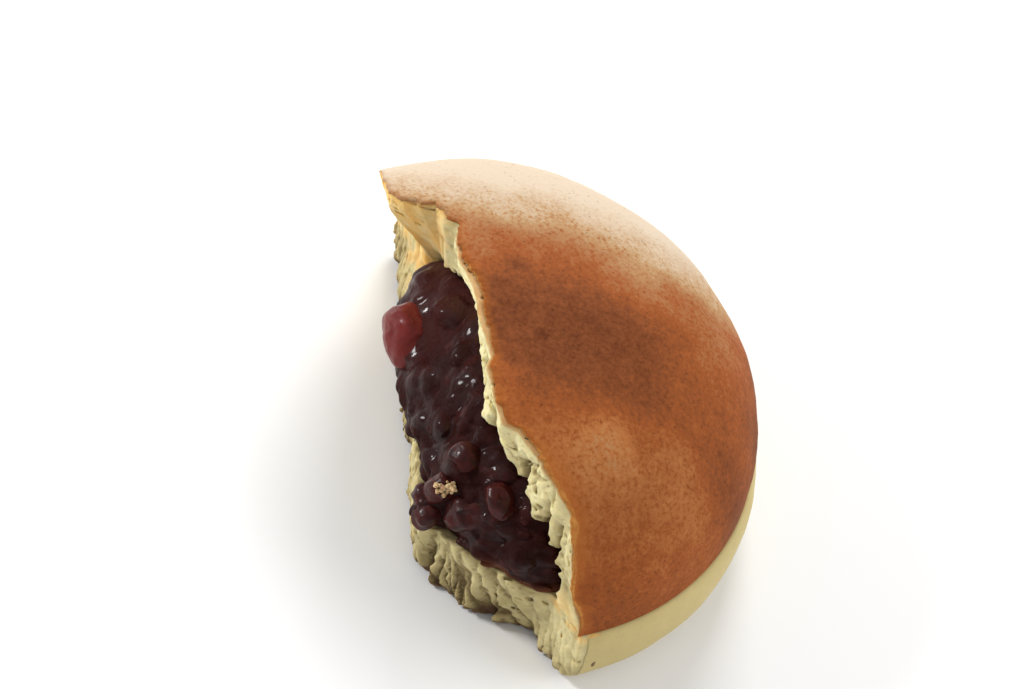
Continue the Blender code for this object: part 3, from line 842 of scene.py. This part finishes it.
def sheared(block, axes, sway):
    """A block's numbers, moved along x by sway at each x and z."""
    at = np.arange(len(axes[0]))[:, None, None] + sway / (axes[0][1] - axes[0][0])
    first = np.clip(np.floor(at).astype(int), 0, len(axes[0]) - 2)
    share = np.clip(at - first, 0.0, 1.0).astype(np.float32)
    j, k = np.arange(len(axes[1]))[:, None], np.arange(len(axes[2]))
    return block[first, j, k] * (1.0 - share) + block[first + 1, j, k] * share


def billows(axes, cell, seed):
    """Rounded swellings with narrow valleys between them, from 0 in the valleys to about 1."""
    return np.sqrt(grid_noise(axes, cell, seed) ** 2 + 0.012)


def crumb_grain(axes, seed):
    """Fine relief of torn crumb."""
    relief = 0.17 * grid_noise(axes, (0.9, 0.9, 0.9), seed)
    return relief + 0.13 * grid_noise(axes, (0.5, 0.5, 0.5), seed + 1)


def torn_block(tear, low, high, pitch):
    """A block of places that follows a torn face.

    Gives its rows, how far behind the face its places are, and their true x, y and z.
    """
    axes = block_axes(low, high, pitch)
    x, behind, z = np.ix_(*axes)
    return axes, behind, x, behind + tear(x, z), z


def crack_line(x, z):
    """x, pushed about so that splits wander."""
    return x + 0.9 * plane_noise(x, z, 3.0, 2.0, 9.0)


def unroll(points, tear):
    """True places of points that were worked out on a block that follows a torn face."""
    x, behind, z = points.T
    return points_of(x, behind + tear(x, z), z)


SLAB = 4.0                   # how deep behind the tear the crumb is made
CRUMB_FRONT = -2.6           # and how far it may stand out in front of it
LUMPY_FROM = -20.0           # x where the upper crumb starts to turn from ridges to lumps
FAR_STAIN = -16.5            # x beyond which it is golden
FAR_STAIN_FADES = -36.0      # and x beyond which that fades
NEAR_STAIN = 36.5            # x beyond which the crumb next to the seam is golden too
TOP_BUBBLES = (4200, (0.15, 0.55), (-0.6, 0.6), 31)  # how many, radii, places behind the face, seed
LOWER_BUBBLES = (1000, (0.18, 0.6), (-1.0, 1.0), 51)
COLUMN_SIZE = (1.7, 0.0, 14.0)  # the lower crumb's torn columns along x, y and z
SKIN_BED = 0.22              # how far below the browned top the crumb ends


def make_top_crumb(sizes, colours):
    """Torn crumb of the upper pancake: lumpy, but drawn out in fine ridges at its far end."""
    form = Form(sizes)
    pitch = sizes.fineness / MM
    low = (-form.rim, CRUMB_FRONT, form.seam - 0.5)
    high = (form.rim, SLAB + 2.0 * pitch, form.seam + form.rise + 0.5)
    axes, behind, x, y, z = torn_block(form.top_tear, low, high, pitch)
    lumpy = ease(x, LUMPY_FROM, 14.0)
    relief = crumb_grain(axes, 21)
    lumps = 0.45 * grid_noise(axes, (3.6, 3.6, 3.0), 24)
    lumps = lumps + 0.30 * grid_noise(axes, (1.5, 2.0, 1.4), 29)
    relief += lumpy * lumps
    relief *= 0.35 + 0.65 * lumpy
    relief += (1.0 - lumpy) * 0.22 * grid_noise(axes, (1.6, 4.0, 7.0), 27)
    opening = smooth(2.0 * grid_noise(axes, (3.0, 3.0, 3.0), 30))
    creases = np.exp(-((grid_noise(axes, (2.6, 3.5, 2.8), 31) / 0.08) ** 2))
    relief += lumpy * opening * 0.9 * creases
    relief *= sizes.crumb_roughness
    line = crack_line(x, z)
    above_roof = np.clip((z - form.roof(x, along(ROOF_TEAR, x))) / 9.0, 0.0, 1.0)
    cracks = (1.0 - above_roof) * split_depth(line, ROOF_SPLITS)
    for at, half, depth in ROOF_SPLITS:
        cracks += 0.8 * depth * np.exp(-((line - at) / (0.22 * half)) ** 2) * (1.0 - above_roof ** 2)
    relief += cracks
    skin = form.dome_distance(x, y, z)
    relief *= 1.0 - 0.75 * np.clip(1.0 + (skin + 0.4) / 2.0, 0.0, 1.0)
    forward = 0.5 * lumpy * (1.0 - ease(x, 25.0, 8.0)) + 0.8 * np.exp(-((x + 1.0) / 7.0) ** 2)
    field = relief - behind - forward
    edge = 0.35 + 0.30 * grid_noise(axes, (1.6, 2.0, 1.6), 33)
    edge = edge + 0.20 * grid_noise(axes, (0.7, 1.0, 0.7), 34)
    lip = 0.5 + 1.8 * ease(x, LUMPY_FROM, -4.0)
    field = soft_max(field, edge - form.pocket_distance(x, y, z), lip)
    bubbles(field, axes, *TOP_BUBBLES)
    for limit in (skin + SKIN_BED, behind - SLAB, seam_height(form, x) - z):
        field = np.maximum(field, limit)
    points, quads = carve(field, axes)
    true = unroll(points, form.top_tear)
    x, y, z = true.T
    far = ease(x, -18.0, -5.0)
    crust = -(form.dome_distance(x, y, z) + SKIN_BED) * (1.0 - 0.45 * far) + 0.05 * far
    # Painted shade: darker the deeper a place lies behind the torn face, and less so at the far end.
    hollow = np.clip(0.08 + 0.45 * (points[:, 1] + 0.5), 0.0, 1.0) * (1.0 - 0.8 * far)
    streaks = np.clip(0.66 + 0.5 * place_noise(true * (1.0, 0.6, 0.3), 1.8, 19.0), 0.3, 0.9)
    across = x + mixed_noise(true, (4.0, 3.5, 23.0), (1.5, 1.2, 24.0))
    stain = streaks * ease(across, FAR_STAIN, -6.0) * (1.0 - 0.7 * ease(across, FAR_STAIN_FADES, -5.0))
    stain = np.maximum(stain, 0.35 * ease(z, form.seam + 4.0, -3.0) * ease(x, NEAR_STAIN, 2.0))
    material = crumb_material(colours, "top_crumb", colours.toast)
    obj = mesh_object("top_crumb", true, quads, material, crust=crust, hollow=hollow, stain=stain)
    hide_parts("top_pancake")


def read_block(block, axes, points):
    """A block's numbers at points within it."""
    spots = []
    for row, places in zip(axes, points.T):
        spot = np.rint((places - row[0]) / (row[1] - row[0])).astype(int)
        spots.append(np.clip(spot, 0, len(row) - 1))
    return block[tuple(spots)]


def make_lower_crumb(sizes, colours):
    """Torn crumb of the lower pancake, pulled apart in leaning columns."""
    form = Form(sizes)
    pitch = sizes.fineness / MM
    low = (-form.widest, CRUMB_FRONT, -0.5)
    high = (form.widest, SLAB + 2.0 * pitch, form.seam + 0.5)
    axes, behind, x, y, z = torn_block(form.bottom_tear, low, high, pitch)
    low_down = np.clip(1.0 - z / 11.0, 0.0, 1.0)
    relief = crumb_grain(axes, 41)
    relief += 0.30 * grid_noise(axes, (2.5, 2.5, 3.0), 43)
    columns = 1.0 - 0.65 * ease(x, 33.0, 4.0) - 0.65 * ease(x, -26.0, -6.0)
    sway = 0.8 * plane_noise(x, z, 4.0, 6.0, 17.0) + 0.25 * (z - 6.0)
    nearest, second = (sheared(gap, axes, sway) for gap in chunks(axes, COLUMN_SIZE, 49))
    grooves = np.exp(-(((second - nearest) / 0.15) ** 2)) * (0.35 + 0.65 * low_down) * columns
    relief += 1.3 * grooves + (0.4 + 0.6 * low_down) * columns * (nearest ** 2 - 0.3)
    scallops = np.minimum(billows(axes, (0.8, 1.5, 2.0), 48), 1.0)
    relief += ease(z, 2.2, -2.2) * (0.7 - 0.7 * scallops)
    relief *= sizes.crumb_roughness
    relief += (0.6 - 0.4 * smooth(z / form.seam)) * split_depth(crack_line(x, z), SOLE_SPLITS)
    field = relief - behind
    bubbles(field, axes, *LOWER_BUBBLES)
    for limit in (np.hypot(x, y) - form.rim_radius_at(z) + 0.10, behind - SLAB):
        field = np.maximum(field, limit)
    field = soft_max(field, 0.35 - z, 0.5)
    field = soft_max(field, z - seam_height(form, x) - 0.03, 0.2)
    points, quads = carve(field, axes)
    true = unroll(points, form.bottom_tear)
    x, y, z = true.T
    low_down = np.clip(1.0 - z / 9.0, 0.0, 1.0)
    # The underside's browned edge, which reaches higher where the crumb lies deeper: real browning at
    # the foot, painted shade in the recesses.
    browned = 0.9 + 1.3 * place_noise(true, 1.2, 18.0) + 2.0 * np.maximum(points[:, 1] - 0.5, 0.0)
    crust = 0.55 * (z - browned)
    grooved = read_block(grooves, axes, points)
    # Painted shade: the whole face, which lies under the paste, darker towards the bottom, deeper
    # behind the face and in the grooves, less at the near end.
    hollow = np.clip(0.36 + 0.20 * points[:, 1] + 0.30 * low_down + 0.9 * grooved, 0.0, 1.0)
    hollow *= 1.0 - 0.30 * ease(x, 34.0, 5.0)
    near_seam = ease(z - form.seam, -2.0, 1.5) * ease(x, 36.0, 2.0)
    stain = 0.7 * near_seam * np.clip(0.5 + 1.5 * place_noise(true, 1.5, 20.0), 0.0, 1.0)
    far_top = ease(z - form.seam, -9.0, 6.0) * ease(x, -25.0, -5.0)
    golden = np.clip(0.5 + 1.2 * place_noise(true, 2.4, 22.0), 0.0, 1.0)
    stain = np.maximum(stain, 0.6 * far_top * golden)
    material = crumb_material(colours, "lower_crumb", colours.sole)
    obj = mesh_object("lower_crumb", true, quads, material, crust=crust, hollow=hollow, stain=stain)
    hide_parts("bottom_pancake")


SOLE_SET_BACK = 2.8          # how far behind the tear the underside's skin ends
RIM_SET_BACK = 1.5           # and the rim's
SOLE_THICKNESS = 0.8         # of the underside's skin
RIM_INSET = 0.975            # the rim's hidden inner side, as a share of the rim
RIM_COLUMNS = 420            # points round the rim
RIM_ROWS = 60                # and from its widest part down to the table
RIM_STEP = 4                 # how many of those rows make one row from there up to the seam
UNDER_ROWS = 24              # and from there to the underside's tear


def make_rim(sizes, colours):
    """Pale rim and browned underside of the lower pancake, as one thin shell."""
    form = Form(sizes)
    a = 0.5 * pi * np.linspace(0.0, 1.0, RIM_ROWS)
    top = points_of(form.rim - np.linspace(4.0, 0.3, 4), form.seam - 0.2)
    upper_height = RIM_WIDEST + (form.seam - 0.15 - RIM_WIDEST) * np.cos(a)
    upper = points_of(form.rim + RIM_BULGE * np.sin(a), upper_height)[::RIM_STEP]
    power = 2.0 / RIM_UNDER_POWER
    under_radius = FLAT_RADIUS + (form.widest - FLAT_RADIUS) * np.cos(a) ** power
    under = points_of(under_radius, RIM_WIDEST * (1.0 - np.sin(a) ** power))[1:]
    radius, height = np.concatenate([top, upper, under]).T
    ends = []
    for side in (-1.0, 1.0):
        x = side * radius
        y = form.bottom_tear(x, height) + RIM_SET_BACK + ragged(height, 60 + side, 0.25, 0.15)
        ends.append(np.arcsin(np.clip(y / radius, -1.0, 1.0)))
    start, stop = pi - ends[0], ends[1]
    angle = start + (stop - start) * np.linspace(0.0, 1.0, RIM_COLUMNS)[:, None]
    rim = points_of(radius * np.cos(angle), radius * np.sin(angle), height)
    dents = mixed_noise(rim, (0.16, 9.0, 6.0), (0.05, 2.0, 7.0))
    dents = smooth((form.seam - height) / 2.0) * smooth(height / 3.0) * dents
    rim = rim + points_of(np.cos(angle), np.sin(angle), 0.0) * dents[..., None]
    x = np.linspace(rim[0, -1, 0] + 0.5, rim[-1, -1, 0] - 0.5, RIM_COLUMNS)
    y = set_back(SOLE_TEAR, x, SOLE_SET_BACK) + ragged(x, 71, 0.4, 0.3) + split_depth(x, SOLE_SPLITS)
    tear = points_of(x, y, 0.0)[:, None]
    v = np.linspace(0.0, 1.0, UNDER_ROWS)[1:, None]
    outer = np.concatenate([rim, rim[:, -1:] + (tear - rim[:, -1:]) * v], axis=1)
    lid = outer[:, ::-1][:, :UNDER_ROWS - 1] + (0.0, 0.0, SOLE_THICKNESS)
    inner = rim[:, ::-1] * (RIM_INSET, RIM_INSET, 1.0)
    middle = form.seam * 0.5
    inner[..., 2] = middle + (inner[..., 2] - middle) * (1.0 - 2.0 * SOLE_THICKNESS / form.seam)
    loops = np.concatenate([outer, lid, inner], axis=1)
    x, y, z = np.moveaxis(loops, -1, 0)
    under = ease(z, 1.6, -1.4) * ease(np.hypot(x, y), 41.5, -3.0)
    browning = 0.75 * np.maximum(under, 0.25 * ease(z, 1.0, -1.0))
    obj = mesh_object("pale_rim", loops, loft(loops), rim_material(colours), browning=browning)
    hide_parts("bottom_pancake")


PASTE_DEPTH = 4.2            # how deep behind its face the paste is made
OWN_SKIN = 0.09              # beans redder than this have skins of their own
BEAN_ROWS = 56               # points of a bean's skin from end to end
BEAN_AROUND = 90             # and round it
SMOOTH_BEAN = 0              # the large bean with few creases
SPLIT_BEAN = 2               # the bean whose mealy inside shows
MEAL_GRAINS = 48
LOOSE_SKIN_BEAN = 1          # the bean whose skin has come half away
LOOSE_SKIN_START = radians(90.0)
LOOSE_SKIN_SWEEP = radians(190.0)
LOOSE_SKIN_REACH = 1.35      # radians from the bean's end
LOOSE_SKIN_THICKNESS = 0.16


def bean_frame(form, x, rise, long, thick, turn, proud):
    """Where a bean lies: a matrix from a ball 1 across to its place, in millimetres."""
    height = form.seam + rise
    front = float(form.paste_front(np.array([x]), np.array([height]))[0])
    place = Matrix.Translation((x, front + 0.5 * thick - proud, height))
    lie = Euler((0.0, radians(turn), BEAN_YAW * turn)).to_matrix().to_4x4()
    return place @ lie @ Matrix.Diagonal((thick, thick, long, 1.0))


def bean_distance(matrix, x, y, z):
    """Roughly how far outside a bean a place is."""
    back = np.array(matrix.inverted())
    px, py, pz = (back[i, 0] * x + back[i, 1] * y + back[i, 2] * z + back[i, 3] for i in range(3))
    px = px - BEAN_BEND * pz * pz
    return (np.sqrt(px * px + py * py + pz * pz) - 0.5) * matrix.col[0].length


def make_paste(sizes, colours):
    """Bean paste that fills the pocket and bellies out of the tear."""
    form = Form(sizes)
    low = (POCKET_CENTRE - POCKET_RADIUS, -6.0, form.seam - 1.6)
    high = (POCKET_CENTRE + POCKET_RADIUS, 4.5, form.seam + POCKET_RISE + 0.5)
    axes, behind, x, y, z = torn_block(form.paste_front, low, high, 0.9 * sizes.fineness / MM)
    lumpy = smooth((chunks(axes, (2.7, 3.0, 2.5), 81)[0] - 0.25) * 1.6)
    wrinkles = np.clip(1.0 - np.abs(grid_noise(axes, (1.7, 1.7, 0.9), 83)), -1.0, 1.0)
    busy = 0.35 + 0.65 * ease(x, -6.0, 12.0) + 0.7 * ease(x, 17.0, 8.0)
    relief = 0.8 * busy * (lumpy - 0.5) + 0.35 * grid_noise(axes, (3.4, 3.4, 3.0), 82)
    relief += 0.16 * wrinkles * (1.0 - 0.5 * lumpy)
    relief -= 0.34 * billows(axes, (1.9, 1.9, 1.2), 85)
    relief -= 0.20 * billows(axes, (0.9, 0.9, 0.7), 86)
    relief *= sizes.paste_roughness
    field = relief - behind
    beans = np.full_like(field, 9.0)
    for *place, red in BEANS:
        buried = 0.9 if red > OWN_SKIN else 0.35
        beans = np.minimum(beans, bean_distance(bean_frame(form, *place), x, y, z) + buried)
    field = soft_min(field, beans + 0.2 * relief, 0.9)
    field = soft_max(field, form.pocket_distance(x, y, z) + 1.0 + 0.8 * relief, 1.5)
    foot = form.seam - 0.1 - 0.9 * np.clip(0.4 + plane_noise(x, 0.0, 3.0, 1.0, 13.0), 0.0, 1.0)
    field = soft_max(field, foot - z, 1.4)
    field = np.maximum(field, behind - PASTE_DEPTH)
    points, quads = carve(field, axes)
    true = unroll(points, form.paste_front)
    x, y, z = true.T
    # Painted sheen: 1 toward the top at the far end of the paste.
    drier = ease(x, -2.0, -8.0) * ease(z - form.seam, 3.0, 4.0)
    thin = ease(z - form.seam, 2.2, -2.0) * ease(x, 26.0, 5.0)
    obj = mesh_object("bean_paste", true, quads, paste_material(colours), drier=drier, thin=thin)
    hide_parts("bean_filling")


def make_beans(sizes, colours):
    """Whole beans with wrinkled skins, set in the paste's face."""
    form = Form(sizes)
    polar = np.linspace(0.0, pi, BEAN_ROWS)[:, None]
    ball = 0.5 * on_ball(polar, 2.0 * pi * np.arange(BEAN_AROUND) / BEAN_AROUND)
    shape = ball * (1.0 + 0.10 * np.sin(2.0 * polar)[..., None] ** 2)
    shape[..., 0] += BEAN_BEND * shape[..., 2] ** 2
    quads = ring_quads(BEAN_ROWS, BEAN_AROUND)[0][:, [0, 3, 2, 1]]
    points, faces, reds = [], [], []
    for number, (*place, red) in enumerate(BEANS):
        if red < OWN_SKIN:
            continue
        matrix = np.array(bean_frame(form, *place))
        true = shape @ matrix[:3, :3].T + matrix[:3, 3]
        dents = 0.9 * place_noise(true, 4.5, 90.0 + number)
        creased = -0.30 if number == SMOOTH_BEAN else -0.65
        creases = creased * np.abs(place_noise(true, 2.4, 70.0 + number))
        pimples = 0.06 * place_noise(true, 1.0, 80.0 + number)
        true = true + one_long(true - matrix[:3, 3]) * (dents + creases + pimples)[..., None]
        faces.append(quads + BEAN_ROWS * BEAN_AROUND * len(points))
        points.append(true)
        reds.append(np.full(BEAN_ROWS * BEAN_AROUND, red))
    faces = np.concatenate(faces)
    obj = mesh_object("whole_beans", points, faces, bean_material(colours), red=reds)
    weld(obj)
    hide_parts("bean_filling")


def make_split_bean(sizes, colours):
    """Mealy inside of a bean that has split."""
    form = Form(sizes)
    place = np.array(bean_frame(form, *BEANS[SPLIT_BEAN][:-1]))
    draw = np.random.default_rng(91)
    centre = place[:3, 3] + np.array([1.3, -0.4, 1.9])
    along_bean, across_bean = np.array([-0.77, 0.15, 0.62]), np.array([0.34, 0.92, 0.20])
    axes = block_axes(centre - 3.0, centre + 3.0, 0.4 * sizes.fineness / MM)
    field = np.full([len(row) for row in axes], 9.0)
    for _ in range(MEAL_GRAINS):
        reach, turn = np.sqrt(draw.random()), draw.uniform(0.0, 2.0 * pi)
        at = centre + 1.7 * reach * cos(turn) * across_bean + 0.9 * reach * sin(turn) * along_bean
        at = at + draw.normal(scale=0.28, size=3)
        radius = draw.uniform(0.14, 0.42)
        x, y, z = np.ix_(*(row - c for row, c in zip(axes, at)))
        field = soft_min(field, np.sqrt(x * x + y * y + z * z) - radius, 0.10)
    points, quads = carve(field, axes)
    obj = mesh_object("split_bean", points, quads, meal_material(colours))
    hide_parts("bean_filling")


def make_loose_skins(sizes, colours):
    """Thin bean skin that has come half away, with its torn rim in the light."""
    form = Form(sizes)
    matrix = np.array(bean_frame(form, *BEANS[LOOSE_SKIN_BEAN][:-1]))
    turn = np.linspace(0.0, 1.0, 44)
    edge = LOOSE_SKIN_REACH * (1.0 + 0.22 * place_noise(points_of(4.0 * turn, 0.0, 0.0), 1.0, 0.0))
    edge = edge * (0.3 + 0.7 * np.sqrt(np.sin(pi * turn)))
    polar = np.linspace(0.02, 1.0, 30)[:, None] * edge
    lift = 0.5 * (1.05 + 0.10 * smooth(polar / LOOSE_SKIN_REACH - 0.5))
    shell = on_ball(polar, LOOSE_SKIN_START + LOOSE_SKIN_SWEEP * turn) * lift[..., None]
    shell = shell @ matrix[:3, :3].T + matrix[:3, 3]
    out = one_long(shell - matrix[:3, 3])
    shell = shell + out * (0.14 * place_noise(shell, 1.4, 60.0))[..., None]
    inner = shell[:, ::-1] - LOOSE_SKIN_THICKNESS * out[:, ::-1]
    loops = np.concatenate([shell, inner], axis=1)
    red = np.full(loops.shape[:2], 0.07)
    obj = mesh_object("loose_bean_skins", loops, loft(loops), bean_material(colours), red=red)
    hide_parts("bean_filling")


def weld(obj):
    """Join points that lie on each other, such as those at a bean's two ends."""
    step = obj.modifiers.new("weld", "WELD")
    step.merge_threshold = 0.02 * MM
    depsgraph = bpy.context.evaluated_depsgraph_get()
    mesh = bpy.data.meshes.new_from_object(obj.evaluated_get(depsgraph))
    obj.modifiers.clear()
    obj.data = mesh


# ------------ stage

CAMERA_PLACE = (0.248987, -0.170837, 0.378205)  # metres
VIEW_AZIMUTH = radians(55.413)
VIEW_ELEVATION = radians(49.109)
VIEW_ROLL = radians(18.166)
LENS = 105.0                 # millimetres, for a picture 36 wide
FLOOR_HALF = 3.0             # metres
ROOM_LIGHT = 0.45            # strength of the even light from all round
LIGHTS = (                   # name, place and size in metres, and power
    ("key", (-0.46, 0.27, 0.37), 0.22, 2.7),
    ("back", (0.30, 0.50, 0.34), 0.45, 2.5),
    ("front", (-0.30, -0.42, 0.36), 0.12, 2.4),
)
LIT_POINT = Vector((0.0, 0.0, 0.02))  # where the lights look


def add_object(name, data):
    """An object of the stage, in the scene."""
    obj = bpy.data.objects.new(name, data)
    bpy.context.scene.collection.objects.link(obj)
    return obj


def make_floor(colours):
    """Pale table."""
    material = bpy.data.materials.new("pale_floor")
    material.use_nodes = True
    inputs = material.node_tree.nodes["Principled BSDF"].inputs
    inputs["Base Color"].default_value = (*colours.floor, 1.0)
    inputs["Roughness"].default_value = 0.9
    inputs["Specular IOR Level"].default_value = 0.1
    mesh = bpy.data.meshes.new("floor")
    corners = [(x * FLOOR_HALF, y * FLOOR_HALF, 0.0) for x, y in ((-1, -1), (1, -1), (1, 1), (-1, 1))]
    mesh.from_pydata(corners, [], [(0, 1, 2, 3)])
    mesh.materials.append(material)
    floor = add_object("floor", mesh)


def make_stage(colours):
    """Pale floor, soft lights and the camera."""
    scene = bpy.context.scene
    make_floor(colours)
    for name, place, size, power in LIGHTS:
        light = bpy.data.lights.new(name, "AREA")
        light.size = size
        light.energy = power
        lamp = add_object(name, light)
        lamp.location = place
        lamp.rotation_euler = (Vector(place) - LIT_POINT).to_track_quat("Z", "Y").to_euler()
    scene.world = bpy.data.worlds.new("studio")
    scene.world.use_nodes = True
    background = scene.world.node_tree.nodes["Background"]
    background.inputs["Color"].default_value = (1.0, 1.0, 1.0, 1.0)
    background.inputs["Strength"].default_value = ROOM_LIGHT
    camera = bpy.data.cameras.new("camera")
    camera.lens = LENS
    camera.clip_start = 0.01
    scene.camera = add_object("camera", camera)
    turn = (Matrix.Rotation(VIEW_AZIMUTH, 4, "Z") @ Matrix.Rotation(0.5 * pi - VIEW_ELEVATION, 4, "X")
            @ Matrix.Rotation(VIEW_ROLL, 4, "Z"))
    scene.camera.matrix_world = Matrix.Translation(CAMERA_PLACE) @ turn
    scene.view_settings.view_transform = "Standard"


# ------------ operators, panel and running


class PieceOperator:
    """What the piece operators share: each hands the sidebar's values to its maker."""

    bl_options = {"REGISTER", "UNDO"}

    def execute(self, context):
        self.make(context.scene.dorayaki_sizes, context.scene.dorayaki_colours)
        return {"FINISHED"}


class DORAYAKI_OT_skin(PieceOperator, bpy.types.Operator):
    """Make the browned skin of the upper pancake"""

    bl_idname = "dorayaki.skin"
    bl_label = "Browned Skin"
    make = staticmethod(make_skin)


class DORAYAKI_OT_top_crumb(PieceOperator, bpy.types.Operator):
    """Make the torn crumb of the upper pancake"""

    bl_idname = "dorayaki.top_crumb"
    bl_label = "Upper Crumb"
    make = staticmethod(make_top_crumb)


class DORAYAKI_OT_lower_crumb(PieceOperator, bpy.types.Operator):
    """Make the torn crumb of the lower pancake"""

    bl_idname = "dorayaki.lower_crumb"
    bl_label = "Lower Crumb"
    make = staticmethod(make_lower_crumb)


class DORAYAKI_OT_rim(PieceOperator, bpy.types.Operator):
    """Make the pale rim and the browned underside"""

    bl_idname = "dorayaki.rim"
    bl_label = "Rim and Underside"
    make = staticmethod(make_rim)


class DORAYAKI_OT_paste(PieceOperator, bpy.types.Operator):
    """Make the bean paste"""

    bl_idname = "dorayaki.paste"
    bl_label = "Bean Paste"
    make = staticmethod(make_paste)


class DORAYAKI_OT_beans(PieceOperator, bpy.types.Operator):
    """Make the whole beans"""

    bl_idname = "dorayaki.beans"
    bl_label = "Whole Beans"
    make = staticmethod(make_beans)


class DORAYAKI_OT_split_bean(PieceOperator, bpy.types.Operator):
    """Make the mealy inside of a split bean"""

    bl_idname = "dorayaki.split_bean"
    bl_label = "Split Bean"
    make = staticmethod(make_split_bean)


class DORAYAKI_OT_loose_skins(PieceOperator, bpy.types.Operator):
    """Make the bean skins that have come away"""

    bl_idname = "dorayaki.loose_skins"
    bl_label = "Loose Bean Skins"
    make = staticmethod(make_loose_skins)


class DORAYAKI_OT_stage(bpy.types.Operator):
    """Make the floor, the lights and the camera"""

    bl_idname = "dorayaki.stage"
    bl_label = "Stage"

    def execute(self, context):
        make_stage(context.scene.dorayaki_colours)
        return {"FINISHED"}


MAKERS = (
    DORAYAKI_OT_stage, DORAYAKI_OT_rim, DORAYAKI_OT_lower_crumb, DORAYAKI_OT_paste, DORAYAKI_OT_beans,
    DORAYAKI_OT_split_bean, DORAYAKI_OT_loose_skins, DORAYAKI_OT_top_crumb, DORAYAKI_OT_skin,
)


class DORAYAKI_PT_panel(bpy.types.Panel):
    """Buttons, sizes and colours of the dorayaki"""

    bl_idname = "DORAYAKI_PT_panel"
    bl_label = "Torn Dorayaki"
    bl_space_type = "VIEW_3D"
    bl_region_type = "UI"
    bl_category = "Dorayaki"

    def draw(self, context):
        for maker in MAKERS:
            self.layout.operator(maker.bl_idname)
        for group in (context.scene.dorayaki_sizes, context.scene.dorayaki_colours):
            box = self.layout.box()
            for key in group.__annotations__:
                box.prop(group, key)


CLASSES = (DorayakiSizes, DorayakiColours, *MAKERS, DORAYAKI_PT_panel)


def register():
    for each in CLASSES:
        bpy.utils.register_class(each)
    bpy.types.Scene.dorayaki_sizes = bpy.props.PointerProperty(type=DorayakiSizes)
    bpy.types.Scene.dorayaki_colours = bpy.props.PointerProperty(type=DorayakiColours)


def unregister():
    del bpy.types.Scene.dorayaki_colours
    del bpy.types.Scene.dorayaki_sizes
    for each in reversed(CLASSES):
        bpy.utils.unregister_class(each)


def main():
    register()
    for maker in MAKERS:
        getattr(bpy.ops.dorayaki, maker.bl_idname.split(".")[1])()


if __name__ == "__main__":
    main()
